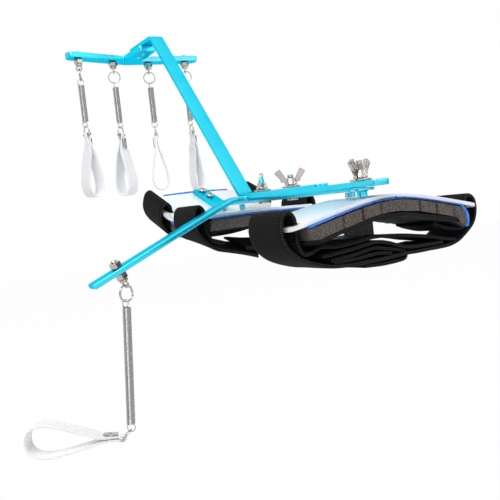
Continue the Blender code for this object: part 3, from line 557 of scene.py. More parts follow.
def makeHookTape():
    # Grey nylon hooks on a woven base, its greys lifted as painted light against the pad's shadow on it
    material, tree, shader = newMaterial("grey nylon hook tape", "#777B83", 0.5)
    cells = addCells(tree, objectPlace(tree), 1.1)  # 1.1 mm rows
    tree.links.new(mixColours(tree, cells, "#C2C6CE", "#7C8088"), shader.inputs["Base Color"])
    addBump(tree, shader, cells, 0.4)
    return material


def makeLeather():
    # Coated white synthetic leather, thin enough to glow a little
    material, tree, shader = newMaterial(
        "white synthetic leather", "#F1F2F4", 0.5,
        extra={"Subsurface Weight": 0.15, "Subsurface Radius": (0.0015, 0.0013, 0.0012), "Subsurface Scale": 0.6})
    addBump(tree, shader, addCells(tree, objectPlace(tree), 0.7), 0.05, 0.5)  # 0.7 mm grain
    return material


anodised = makeAnodised()
plated = makeSteel("bright nickel plated steel", "#BDB9B2", 0.16, 1.2)
wireSteel = makeSteel("drawn spring steel wire", "#B6B4B1", 0.13, 0.8)
shellWhite = makeShellWhite()
loopCloth = makeLoopCloth()
openFoam = makeOpenFoam()
jersey = makeJersey()
webbing = makeWebbing()
hookTape = makeHookTape()
leather = makeLeather()


# Bars

handTilt = 22.0  # degrees that the knuckle end leans up
barSize = {"width": 11.0, "thick": 3.3, "edge": 1.0, "bend": 6.65, "studHole": 2.3, "screwHole": 1.8}
bracket = {"start": (0, 5, 16.05), "flat": 165.48, "tab": 31.62, "corner": 2.2, "ends": (8, 195),
           "studs": (108.7, 73.1)}
armBar = {"start": (0, 38, 19.65), "foot": 89.9, "lift": 49.95, "shaft": 177.84, "over": -51.45, "flange": 42.8,
          "footCorner": 5.0, "tipCorner": 2.5, "ends": (45, 285), "slot": (47, 119), "slotHalf": 2.3}
thumbBar = {"start": (-11.5, -28, 17.75), "leg": 127.0, "corner": 8.5, "fold": 23.0, "foldRadius": 31.55,
            "reach": 104.63, "endCorner": 2.2, "pivot": (-11.5, -10.4), "hook": (-110.05, 107.5, -19.54)}
fingerBar = {"spacing": 34.0, "half": 62.0, "line": 62.0, "sweep": 0.1944, "armHalf": 7.0, "neckHalf": 8.0,
             "neckStart": 18.0, "corner": 6.0, "neckCorner": 3.0, "inCorner": 2.0, "thick": 4.4, "roll": 1.3}
posts = {"handPost": {"node": "hand_spacer", "radius": 2.0, "low": 10.3, "y": 138},
         "cuffPost": {"node": "cuff_spacer", "radius": 3.0, "low": 11.3, "y": 14}}
postTop = 14.1
flange = shift(0, 249.5, 160.6) @ rotate("X", -1.5)
flangeScrews = (29.0, 40.0)
tabTop = shift(0, 174, 14.848) @ rotate("X", handTilt)
tabScrews = (13.5, 26.0)
hookFrame = shift(*thumbBar["hook"]) @ rotate("Y", -thumbBar["fold"])
plateUnder = flange @ shift(0, 0, -1.95) @ rotate("Y", fingerBar["roll"]) @ shift(0, 0, -fingerBar["thick"])


def barLine(x):
    return fingerBar["line"] - fingerBar["sweep"] * abs(x)


hookSpots = {f: ((i - 1.5) * fingerBar["spacing"], barLine((i - 1.5) * fingerBar["spacing"]))
             for i, f in enumerate(fingers[:4])}


def bendBar(start, moves):
    obj = startFace(start, (0, 1, 0), (0, 0, 1), barSize["width"], barSize["thick"])
    walk(start, (0, 1, 0), (0, 0, 1), moves)
    return tidyMesh(obj)


def makeBracket():
    p = bracket
    obj = bendBar(p["start"], [("run", p["flat"]), ("bend", handTilt, barSize["bend"], "side"), ("run", p["tab"])])
    roundEdges(obj, p["corner"], lambda m: m.y < p["ends"][0] or m.y > p["ends"][1])
    for y in p["studs"]:
        drill(obj, barSize["studHole"], shift(0, y, 16))
    for along in tabScrews:
        drill(obj, barSize["screwHole"], tabTop @ shift(0, along, 0))
    easeEdges(obj, barSize["edge"])
    finishPiece(obj, "bracketBar", anodised, "brace", ["base_bracket"])


def makeArm():
    p = armBar
    bend = barSize["bend"]
    obj = bendBar(p["start"], [("run", p["foot"]), ("bend", p["lift"], bend, "side"), ("run", p["shaft"]),
                               ("bend", p["over"], bend, "side"), ("run", p["flange"])])
    roundEdges(obj, p["footCorner"], lambda m: m.y < p["ends"][0], 8)
    roundEdges(obj, p["tipCorner"], lambda m: m.y > p["ends"][1])
    w = p["slotHalf"]
    cutter = addBox((-w, p["slot"][0], 10), (w, p["slot"][1], 30))
    roundEdges(cutter, w - 0.1)
    boolean(obj, cutter, "DIFFERENCE")
    for along in flangeScrews:
        drill(obj, barSize["screwHole"], flange @ shift(0, along, 0))
    easeEdges(obj, barSize["edge"])
    finishPiece(obj, "armBar", anodised, "outrigger", ["arm"])


def makeThumbBar():
    p = thumbBar
    obj = bendBar(p["start"], [("run", p["leg"]), ("bend", 90, p["corner"], "up"),
                               ("bend", -p["fold"], p["foldRadius"], "side"), ("run", p["reach"])])
    roundEdges(obj, p["endCorner"], lambda m: m.y < -25)
    drill(obj, barSize["studHole"], shift(*p["pivot"], 17))
    drill(obj, barSize["studHole"], hookFrame)
    easeEdges(obj, barSize["edge"])
    finishPiece(obj, "thumbBar", anodised, "thumb_outrigger", ["thumb_bar"])


def makeFingerBar():
    p = fingerBar
    thick = p["thick"]
    obj = addBox((0, p["line"] - p["armHalf"], 0), (p["half"], p["line"] + p["armHalf"], thick))
    pick(obj, "VERT", lambda v: v.co.x > 30 * mm)
    bpy.ops.transform.translate(value=(0, -p["sweep"] * p["half"] * mm, 0))
    leaveEdit()
    mirror = obj.modifiers.new("other side", "MIRROR")
    mirror.use_clip = True
    mirror.merge_threshold = 0.01 * mm
    applyModifiers(obj)
    pick(obj, "FACE", lambda f: abs(f.center.x) < 1e-6 and abs(f.normal.x) > 0.9)
    bpy.ops.mesh.delete(type="FACE")
    leaveEdit()
    tidyMesh(obj)
    neck = addBox((-p["neckHalf"], p["neckStart"], 0), (p["neckHalf"], p["line"] - 1, thick))
    boolean(obj, neck, "UNION")
    roundEdges(obj, p["corner"], lambda m: abs(m.x) > 55)
    roundEdges(obj, p["neckCorner"], lambda m: m.y < 20)
    roundEdges(obj, p["inCorner"], lambda m: abs(abs(m.x) - p["neckHalf"]) < 0.1 and 40 < m.y < 58)
    for along in flangeScrews:
        drill(obj, barSize["screwHole"], shift(0, along, 0))
    for spot in hookSpots.values():
        drill(obj, barSize["studHole"], shift(*spot, 0))
    easeEdges(obj, barSize["edge"])
    obj.data.transform(plateUnder)
    finishPiece(obj, "fingerBar", anodised, "outrigger", ["finger_bar"])


def makePosts():
    for name, p in posts.items():
        post = lathe(turned(p["radius"], p["low"], postTop, 0.3, 0.3))
        post.data.transform(shift(0, p["y"], 0))
        finishPiece(smoothen(post), name, anodised, "brace", [p["node"]])
    boss = lathe([(2.3, 10.9), (2.9, 10.9), (2.9, 13.6), (3.5, 14.2), (6.6, 14.2), (7.0, 14.5), (7.0, 15.5),
                  (6.7, 15.8), (2.3, 15.8), (2.3, 10.9)], 40)
    boss.data.transform(shift(*thumbBar["pivot"], 0))
    finishPiece(smoothen(boss), "thumbBoss", anodised, "brace", ["cuff_boss"])


# Screws, studs, washers and wing nuts

stud = {"radius": 2.0, "pitch": 0.7, "depth": 0.28}
armClamp = {"foot": [(0, 13.2), (3.3, 13.2), (3.6, 13.5), (3.6, 14.1), (2.0, 14.1)], "thread": (21.0, 29.8),
            "washer": 21.6, "nut": 22.9}
clamps = {1: {"spot": (0, bracket["studs"][0]), "turn": 62, **armClamp},
          2: {"spot": (0, bracket["studs"][1]), "turn": -22, **armClamp},
          3: {"spot": thumbBar["pivot"], "turn": 18, "foot": [(0, 11.1), (2.0, 11.1)], "thread": (19.0, 30.9),
              "washer": 19.7, "nut": 21.0}}
panScrew = {"head": 3.1, "high": 2.0, "shank": 1.5, "cross": (1.6, 0.3, 1.0), "reach": {"tab": 5.6, "bar": 8.8},
            "seat": {"tab": 3.9, "bar": 1.95}}
wingNut = {"hub": 4.1, "high": 4.6, "hole": 2.1, "earHalf": (2.1, 4.3), "earRoot": 0.72, "earCorner": 0.9,
           "lean": 34.0, "out": 6.1, "up": 6.2, "thick": 2.0, "groove": 0.28, "grooveHalf": 0.24,
           "groovePitch": 0.95, "grooveRun": (-1.6, 5.2), "web": ((1.8, 6.4), (0.7, 4.2)), "webProud": 0.25,
           "webRise": 1.5}


def threadProfile(low, high):
    p = stud
    points = []
    turns = int((high - low - 0.8) / p["pitch"])
    for i in range(turns):
        z = low + i * p["pitch"]
        points += [(p["radius"], z + 0.1), (p["radius"], z + 0.25), (p["radius"] - p["depth"], z + 0.5)]
    return points + [(p["radius"], high - 0.7), (p["radius"] - 0.5, high - 0.05), (0, high)]


def makeStuds():
    for number, p in clamps.items():
        obj = lathe(p["foot"] + threadProfile(*p["thread"]), 24)
        obj.data.transform(shift(*p["spot"], 0))
        finishPiece(smoothen(obj, 30), "clampStud%d" % number, plated, "brace", ["clamp_bolt_%d" % number])


def makeWashers():
    ring = lathe([(2.3, 0), (5.8, 0), (6.0, 0.2), (6.0, 0.7), (5.7, 1.0), (2.5, 1.0), (2.3, 0.8), (2.3, 0)], 40)
    smoothen(ring, 30)
    for number, p in clamps.items():
        finishPiece(copyPiece(ring, shift(*p["spot"], p["washer"])), "washer%d" % number, plated, "brace",
                    ["washer_%d" % number])
    discard(ring)


def makeWing(side):
    # A blunt ear that leans out, with ridges on both faces for the fingers
    p = wingNut
    (w, h), e = p["earHalf"], p["thick"] / 2
    ear = addBox((-w, -h, -e), (w, h, e))
    pick(ear, "VERT", lambda v: v.co.y < 0)
    bpy.ops.transform.resize(value=(p["earRoot"], 1, 1))
    leaveEdit()
    roundEdges(ear, p["earCorner"])
    ear.data.transform(rotate("X", 90))
    half, deep, (low, high) = p["grooveHalf"], p["groove"], p["grooveRun"]
    for face in (-e, e):
        middles = [(k - 1.5) * p["groovePitch"] for k in range(4)]
        combs = [addBox((x - half, face - deep, low), (x + half, face + deep, high)) for x in middles]
        boolean(ear, joinPieces(combs), "DIFFERENCE")
    ear.data.transform(shift(side * p["out"], 0, p["up"]) @ rotate("Y", side * p["lean"]))
    (start, end), (low, high) = p["web"]
    web = addBox((start, -e - p["webProud"], low), (end, e + p["webProud"], high))
    pick(web, "VERT", lambda v: v.co.x > 4 * mm)
    bpy.ops.transform.translate(value=(0, 0, p["webRise"] * mm))
    bpy.ops.transform.resize(value=(1, 0.8, 0.8), center_override=(end * mm, 0, 4 * mm))
    leaveEdit()
    web.data.transform(Matrix.Diagonal((side, 1, 1, 1)))
    tidyMesh(web)
    return boolean(ear, web, "UNION")


def makeWingNuts():
    p = wingNut
    nut = lathe([(0, 0), (p["hub"] - 0.3, 0), (p["hub"], 0.3), (p["hub"], 1.0), (p["hub"] - 0.5, 1.7),
                 (p["hub"] - 1.1, p["high"] - 0.5), (p["hub"] - 1.5, p["high"]), (0, p["high"])], 32)
    for side in (-1, 1):
        boolean(nut, makeWing(side), "UNION")
    boolean(nut, addRod(p["hole"], -1, 12), "DIFFERENCE")
    easeEdges(nut, 0.22, 2, 40)
    for number, clampPlace in clamps.items():
        place = shift(*clampPlace["spot"], clampPlace["nut"]) @ rotate("Z", clampPlace["turn"])
        finishPiece(copyPiece(nut, place), "wingNut%d" % number, plated, "wing_%d" % number,
                    ["wing_nut_%d" % number])
    discard(nut)


def makeScrews():
    # Pan heads with a cross recess
    p = panScrew
    r, h, wide = p["head"], p["high"], p["shank"]
    screw = lathe([(0, -1), (wide, -1), (wide, 0), (r, 0), (r, 0.7),
                   (r * 0.93, 1.2), (r * 0.75, h * 0.82), (r * 0.45, h * 0.97), (0, h)], 32)
    a, b, deep = p["cross"]
    for turn in (20, 110):
        slot = addBox((-a, -b, h - deep), (a, b, h + deep))
        slot.data.transform(rotate("Z", turn))
        boolean(screw, slot, "DIFFERENCE")
    for kind, body, top, spots, twist in (("tab", "brace", tabTop, tabScrews, 35),
                                          ("bar", "outrigger", flange, flangeScrews, 60)):
        low = -p["reach"][kind]
        for word, along, turn in zip(("rear", "front"), spots, (0, twist)):
            obj = copyPiece(screw, Matrix.Identity(4))
            shank = lathe([(0, low), (wide - 0.5, low + 0.1), (wide, low + 0.6), (wide, -0.5), (0, -0.5)], 20)
            boolean(obj, shank, "UNION")
            obj.data.transform(top @ shift(0, along, p["seat"][kind]) @ rotate("Z", turn))
            finishPiece(smoothen(obj), kind + "Screw" + word.title(), plated, body,
                        ["%s_screw_%s" % (kind, word)])
    discard(screw)


# Strands: eye bolt, split ring, spring, shackle

eyeBolt = {"hex": 4.0, "hexTop": -0.3, "hexHigh": 3.8, "hexRim": (0.55, 0.35), "topNut": (3.6, 7.4), "collar": 2.9,
           "collarHigh": 2.2, "drop": 8.0, "eye": 2.2, "wire": 0.67, "thread": (4.5, 6.4), "thumbThread": (3.4, 8.8)}
splitRing = {"radius": 5.1, "wire": 0.42, "pitch": 0.85, "turns": 2}
coil = {"radius": 2.45, "wire": 0.3, "pitch": 0.62, "lead": 1.85, "turnUp": 0.9, "top": -14.0}
shackle = {"bow": 3.7, "leg": 3.6, "wire": 0.55, "pin": 0.62, "head": 1.15, "tuck": 0.4}
ringTurn = {"index": 68, "middle": -22, "ring": -22, "little": -22, "thumb": 20}
loopTurn = {"index": 103, "middle": 33, "ring": 68, "little": 88, "thumb": 58}
linkTilt = {"thumb": 45}
slingTilt = {"thumb": 90}
springBody = {"index": 31.4, "middle": 31.4, "ring": 31.4, "little": 31.4, "thumb": 73.0}
thumbPull = {"lean": 4.7, "way": math.radians(148)}
thumbLean = rotate(Vector((math.sin(thumbPull["way"]), -math.cos(thumbPull["way"]), 0)), thumbPull["lean"])


def strandFrame(finger):
    # Hanging frame at the point where the ring hangs in its eye
    pivot = Matrix.Translation(jointOf["swing_" + finger]["pos_m"])
    return pivot @ thumbLean if finger == "thumb" else pivot


def pinFrame(finger, tilts):
    # Pin along X, the shackle's bow towards +Z and the loop towards -Z
    pin = Matrix.Translation(jointOf["sling_turn_" + finger]["pos_m"])
    lean = thumbLean if finger == "thumb" else Matrix.Identity(4)
    return pin @ lean @ rotate("Z", loopTurn[finger]) @ rotate("X", tilts.get(finger, 0))


def copyToFingers(obj, placeFor, word, body, node):
    for finger in fingers:
        twin = copyPiece(obj, placeFor(finger))
        finishPiece(twin, finger + word, plated, body + finger, [node + finger])
    discard(obj)


def makeEyeBolts():
    p = eyeBolt
    hexTop, hexLow = p["hexTop"], p["hexTop"] - p["hexHigh"]
    nut = lathe(turned(p["hex"], hexLow, hexTop, *p["hexRim"]), 6)
    wake()
    bpy.ops.mesh.primitive_torus_add(major_radius=p["eye"] * mm, minor_radius=p["wire"] * mm,
                                     major_segments=28, minor_segments=12,
                                     location=(0, 0, -p["drop"] * mm), rotation=(0, math.pi / 2, 0))
    eye = settle(bpy.context.object)
    wide, low = p["collar"], hexLow - p["collarHigh"]
    collar = lathe([(0, low), (wide - 0.5, low), (wide, low + 0.5), (wide, hexLow - 0.5),
                    (wide - 0.4, hexLow - 0.25), (wide - 0.4, hexLow + 0.4), (0, hexLow + 0.4)], 24)
    boolean(nut, eye, "UNION")
    boolean(nut, collar, "UNION")
    for finger in fingers:
        thumb = finger == "thumb"
        obj = copyPiece(nut, rotate("Z", ringTurn[finger]))
        thread = threadProfile(*p["thumbThread" if thumb else "thread"])
        boolean(obj, lathe([(0, -1.0), (2.0, -1.0)] + thread, 20), "UNION")
        obj.data.transform(hookFrame if thumb else plateUnder @ shift(*hookSpots[finger], 0))
        finishPiece(smoothen(obj, 35), finger + "EyeBolt", plated, "thumb_outrigger" if thumb else "outrigger",
                    ["eye_bolt_" + finger])
    discard(nut)
    top = lathe(turned(p["hex"], *p["topNut"], *p["hexRim"], 2.2), 6)
    top.data.transform(hookFrame @ rotate("Z", 20))
    finishPiece(smoothen(top, 25), "thumbTopNut", plated, "thumb_outrigger", ["top_nut_thumb"])


def windWire(radius, wire, pitch, turns, angle=math.tau, steps=16, sides=8):
    # A round wire swept by the Screw modifier
    wake()
    bpy.ops.mesh.primitive_circle_add(vertices=sides, radius=wire * mm, location=(radius * mm, 0, 0),
                                      rotation=(math.pi / 2, 0, 0))
    obj = settle(bpy.context.object)
    mod = obj.modifiers.new("wind", "SCREW")
    mod.axis = "Z"
    mod.angle = angle
    mod.screw_offset = pitch * mm
    mod.iterations = turns
    mod.steps = mod.render_steps = steps
    mod.use_merge_vertices = True
    mod.merge_threshold = 0.0005 * mm
    editAll(applyModifiers(obj))
    bpy.ops.mesh.fill_holes(sides=0)
    return faceOut(obj)


def makeRings():
    p = splitRing
    ring = windWire(p["radius"], p["wire"], p["pitch"], p["turns"], math.tau * 0.98, 40)
    ring.data.transform(shift(0, 0, p["pitch"] * (0.25 - p["turns"] / 2)))  # both turns evenly in the eye
    ring.data.transform(rotate("X", 90))
    drop = shift(0, 0, -p["radius"])
    copyToFingers(smoothen(ring, 60), lambda f: strandFrame(f) @ drop @ rotate("Z", ringTurn[f]), "SplitRing",
                  "strand_", "ring_")


def leadHook(obj, capHeight, up, turn):
    # Take the wire's end face up beside the coil and round into a closed hook
    p = coil
    radial = Vector((math.cos(turn), math.sin(turn), 0))
    tangent = Vector((-math.sin(turn), math.cos(turn), 0)) * up
    spot = radial * p["radius"] + Vector((0, 0, capHeight))
    pick(obj, "FACE", lambda f: len(f.vertices) == 8 and (f.center / mm - spot).length < 0.3)
    walk(spot, tangent, (0, 0, up), [("bend", 90, p["turnUp"], "side"), ("run", p["lead"]),
                                     ("bend", 320, p["radius"], "up")])


def makeSprings():
    p = coil
    for finger in fingers:
        body = springBody[finger]
        turns = round(body / p["pitch"])
        low = math.radians(loopTurn[finger] + 90)
        top = math.radians(ringTurn[finger] + 90)
        extra = (top - low) % math.tau
        obj = windWire(p["radius"], p["wire"], body / turns, turns, math.tau + extra / turns)
        obj.data.transform(Matrix.Rotation(low, 4, "Z"))
        leadHook(obj, body, 1, top)
        leadHook(obj, 0, -1, low)
        smoothen(tidyMesh(obj), 60)
        hang = strandFrame(finger)
        obj.data.transform(hang @ shift(0, 0, p["top"] - body))
        finishPiece(obj, finger + "Spring", wireSteel, None, ["spring_" + finger])
        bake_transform(obj)


def makeShackles():
    p = shackle
    start, leg = (p["bow"], 0, -p["tuck"]), p["leg"] + p["tuck"]
    bow = startWire(start, (0, 0, 1), p["wire"], 12)
    walk(start, (0, 0, 1), (0, 1, 0), [("run", leg), ("bend", -180, p["bow"], "up"), ("run", leg)])
    tidyMesh(bow)
    reach, wide, thin = p["bow"] + 0.9, p["head"], p["pin"]
    pin = lathe([(0, -reach - 0.6), (wide - 0.25, -reach - 0.6), (wide, -reach - 0.35), (wide, -reach + 0.4),
                 (thin, -reach + 0.5), (thin, reach - 0.5), (wide, reach - 0.4), (wide, reach + 0.35),
                 (wide - 0.25, reach + 0.6), (0, reach + 0.6)], 16)
    pin.data.transform(rotate("Y", 90))
    boolean(bow, pin, "UNION")
    copyToFingers(smoothen(bow, 40), lambda f: pinFrame(f, linkTilt), "Shackle", "link_", "shackle_")


# Soft pieces

def smoothLine(points, step, closed=False):
    # A smooth line through the points, with its own points about one step apart
    pts = [Vector(p) for p in points]
    count = len(pts)
    line = []
    for i in range(count if closed else count - 1):
        near = [i - 1, i, i + 1, i + 2]
        a, b, c, d = (pts[k % count] if closed else pts[min(max(k, 0), count - 1)] for k in near)
        parts = max(2, round((c - b).length / step))
        for t in (k / parts for k in range(parts)):
            line.append(0.5 * (2 * b + (c - a) * t + (2 * a - 5 * b + 4 * c - d) * t * t
                               + (3 * b - a - 3 * c + d) * t ** 3))
    return line if closed else line + [pts[-1]]


def newMesh(name, verts, faces):
    mesh = bpy.data.meshes.new(name)
    mesh.from_pydata([Vector(v) * mm for v in verts], [], faces)
    obj = bpy.data.objects.new(name, mesh)
    scene.collection.objects.link(obj)
    return obj


def makeBand(points, width, thick, space, step, closed=False, columns=8):
    # A flat strip with round edges; its UV is metres along it and metres in from its nearer edge
    line = smoothLine(points, step, closed)
    count, e = len(line), thick / 2
    verts, runs, ins = [], [0.0], []
    for i, p in enumerate(line):
        after = line[(i + 1) % count] if closed or i + 1 < count else p
        before = line[i - 1] if closed or i else p
        along = (after - before).normalized()
        normal = Vector((-along.y, along.x))
        half = (width(p) if callable(width) else width) / 2
        flat = half - e
        top = [(-flat + 2 * flat * j / columns, e) for j in range(columns + 1)]
        side = [(flat + 0.7 * e, 0.7 * e), (half, 0), (flat + 0.7 * e, -0.7 * e)]
        ring = top + side + [(-s, -n) for s, n in top + side]
        verts += [space(p + normal * n, s) for s, n in ring]
        ins += [half - abs(s) for s, n in ring]
        runs.append(runs[-1] + (line[(i + 1) % count] - p).length)
    m = len(ring)
    faces, marks = [], []
    for i in range(count if closed else count - 1):
        k = (i + 1) % count
        for j in range(m):
            n = (j + 1) % m
            faces.append((i * m + j, i * m + n, k * m + n, k * m + j))
            marks += [(runs[i], ins[i * m + j]), (runs[i], ins[i * m + n]), (runs[i + 1], ins[k * m + n]),
                      (runs[i + 1], ins[k * m + j])]
    if not closed:
        ends = [range(m - 1, -1, -1), range((count - 1) * m, count * m)]
        faces += [tuple(e) for e in ends]
        marks += [(0.0, ins[v % m]) for v in ends[0]] + [(runs[count - 1], ins[v % m]) for v in ends[1]]
    obj = newMesh("band", verts, faces)
    layer = obj.data.uv_layers.new(name="cloth")
    for spot, (u, v) in zip(layer.data, marks):
        spot.uv = (u * mm, v * mm)
    smoothen(faceOut(obj), 60)
    obj["run"] = runs[count] if closed else runs[count - 1]
    return obj


def sheetMesh(across, along, place):
    # An open grid, u from -1 to 1 and v from 0 to 1
    verts = [place(-1 + 2 * i / across, j / along) for j in range(along + 1) for i in range(across + 1)]
    row = across + 1
    faces = [(j * row + i, j * row + i + 1, (j + 1) * row + i + 1, (j + 1) * row + i)
             for j in range(along) for i in range(across)]
    return newMesh("sheet", verts, faces)


def blockMesh(nu, nv, nw, place):
    # The skin of a block of cells, u from -1 to 1, v and w from 0 to 1
    spots, verts = {}, []
    for i in range(nu + 1):
        for j in range(nv + 1):
            for k in range(nw + 1):
                if i in (0, nu) or j in (0, nv) or k in (0, nw):
                    spots[i, j, k] = len(verts)
                    verts.append(place(-1 + 2 * i / nu, j / nv, k / nw))
    faces = []
    for k in (0, nw):
        faces += [[(i, j, k), (i + 1, j, k), (i + 1, j + 1, k), (i, j + 1, k)] for i in range(nu) for j in range(nv)]
    for j in (0, nv):
        faces += [[(i, j, k), (i + 1, j, k), (i + 1, j, k + 1), (i, j, k + 1)] for i in range(nu) for k in range(nw)]
    for i in (0, nu):
        faces += [[(i, j, k), (i, j + 1, k), (i, j + 1, k + 1), (i, j, k + 1)] for j in range(nv) for k in range(nw)]
    return tidyMesh(newMesh("block", verts, [[spots[c] for c in face] for face in faces]))


def thicken(obj, thick):
    mod = obj.modifiers.new("thick", "SOLIDIFY")
    mod.thickness = thick * mm
    mod.offset = -1
    return tidyMesh(applyModifiers(obj))


# Pads: a white shell, a blue cover, foam and a black lining

padDepth = {"cover": 2.3, "foam": 3.6, "coverThick": 0.75, "coverShy": 0.8}
foamCut = {"back": 0.35, "rough": 0.3, "fold": 1.3, "foldHalf": 0.55, "wander": 0.25, "foldShadeHalf": 0.6}
shellSheet = {"thick": 2.0, "inset": 2.5, "slot": (2.3, 17, 9), "slotCorner": 1.6, "edge": 0.45}
strapSlot = {"forearm": 60.5, "wrist": 41.5, "hand": 39.5}  # x of each strap's slots
strapLine = {"wrist": 133, "hand": 188}  # y of their middles
handRise = {"level": 10, "start": 152, "end": 172, "run": 56}
handEdge = {"reach": 39, "narrow": 8, "lobe": 7.6, "lobeSpan": (150, 171), "lip": 2.5, "lipEnd": 116, "ramp": 3}


def arch(x, slope, radius):
    return slope * (math.sqrt(x * x + radius * radius) - radius)


def cuffTop(x, y):
    return 11 - arch(x, 0.235, 20)


def handLine(y):
    p, slope = handRise, math.tan(math.radians(handTilt))
    if y < p["start"]:
        return p["level"]
    if y < p["end"]:
        return p["level"] + slope * (y - p["start"]) ** 2 / (2 * (p["end"] - p["start"]))
    return p["level"] + slope * (y - (p["start"] + p["end"]) / 2)


def handTop(x, y):
    return handLine(y) - arch(x, 0.03, 15)


def handPast(y):
    return max(0.0, (y - handRise["start"]) / handRise["run"])


def handReach(y):
    # Narrows towards the knuckles, and fills the shell's rim between the two straps and at the wrist
    p = handEdge
    between = clamp(min(y - p["lobeSpan"][0], p["lobeSpan"][1] - y) / p["ramp"])
    lip = clamp((p["lipEnd"] - y) / p["ramp"])
    return 1 - (p["narrow"] * handPast(y) - p["lobe"] * between - p["lip"] * lip) / p["reach"]


# each end of a pad: flat reach, end radius, degrees turned down; each fold: place and depth
cuffPad = {"top": cuffTop, "y": (-23, 29), "corner": 3.5, "ends": ((56.2, 0.9, 60), (50.2, 9.0, 108)),
           "taper": lambda y: 1.0, "coverReach": lambda v: 1.0, "lining": (9.8, 1.9), "sag": 1.5,
           "lift": 0.0, "seed": 3.0,
           "folds": ((-35.3, 0.5), (-22.1, 1.0), (-9.5, 0.45), (18.4, 0.7), (31.0, 0.7), (44.0, 0.4))}
handPad = {"top": handTop, "y": (110, 208), "corner": 2.0, "ends": ((36.6, 2.4, 95), (36.6, 2.4, 95)),
           "taper": handReach, "coverReach": lambda v: 0.9 if v < 0.4 else 1.0, "lining": (10.9, 0.7), "sag": 0.3,
           "lift": 2.7, "seed": 8.0, "folds": ((-8.0, 0.4), (14.0, 0.5))}


def cornerCut(corner, inward):
    # How far a rounded corner stands in at this distance from the edge
    return corner - math.sqrt(corner ** 2 - (corner - inward) ** 2) if inward < corner else 0.0


def padPlace(pad, u, v, depth):
    # A point of the layer at this depth, which turns down round the pad's end
    y = pad["y"][0] + (pad["y"][1] - pad["y"][0]) * v
    side = -1 if u < 0 else 1
    flat, radius, turn = pad["ends"][0 if u < 0 else 1]
    s = abs(u) * (flat + radius * math.radians(turn))
    x0, a = min(s, flat), max(0.0, s - flat) / radius
    slope = math.atan((pad["top"](x0 - 0.5, y) - pad["top"](x0 + 0.5, y)))
    z0 = pad["top"](x0, y) - padDepth["cover"]
    under = depth - padDepth["cover"]
    centre = Vector((x0 - radius * math.sin(slope), z0 - radius * math.cos(slope)))
    curled = radius > 6
    r = radius - under if curled else max(radius - under, 0.1)
    p = centre + r * Vector((math.sin(a + slope), math.cos(a + slope)))
    if not curled:
        # a plain end stays flat below its rounded top corner
        p.y = min(p.y, z0 - under)
        if a == 0:
            p = Vector((x0 - under * math.sin(slope), z0 - under * math.cos(slope)))
        elif under > radius:
            out = radius * min(1.0, a / math.radians(turn))
            p = Vector((x0 + out - under * math.sin(slope), z0 - under * math.cos(slope)))
    cut = cornerCut(pad["corner"], min(y - pad["y"][0], pad["y"][1] - y))
    return Vector((side * p.x * (1 - cut / (flat + radius)) * pad["taper"](y), y, p.y))


def ripple(pad, p, pitch, deep):
    return deep * noise.noise(Vector((p.x / pitch, p.y / pitch, pad["seed"])))


def makeShell(name, node, pad, half, corner, slots, drills):
    sheet = shellSheet
    wake()
    bpy.ops.mesh.primitive_grid_add(x_subdivisions=96, y_subdivisions=64, size=2)
    obj = bpy.context.object
    low, high = pad["y"][0] + sheet["inset"], pad["y"][1] - sheet["inset"]
    for v in obj.data.vertices:
        y = low + (high - low) * (v.co.y + 1) / 2
        x = v.co.x * (half(y) - cornerCut(corner, min(y - low, high - y)))
        v.co = Vector((x, y, pad["top"](x, y))) * mm
    thicken(obj, sheet["thick"])
    for matrix in slots:
        cutter = addBox([-c for c in sheet["slot"]], sheet["slot"])
        roundEdges(cutter, sheet["slotCorner"], segments=4)
        cutter.data.transform(matrix)
        boolean(obj, cutter, "DIFFERENCE")
    for matrix in drills:
        drill(obj, barSize["screwHole"], matrix)
    easeEdges(obj, sheet["edge"], 3, 40)
    finishPiece(obj, name, shellWhite, "brace", [node])


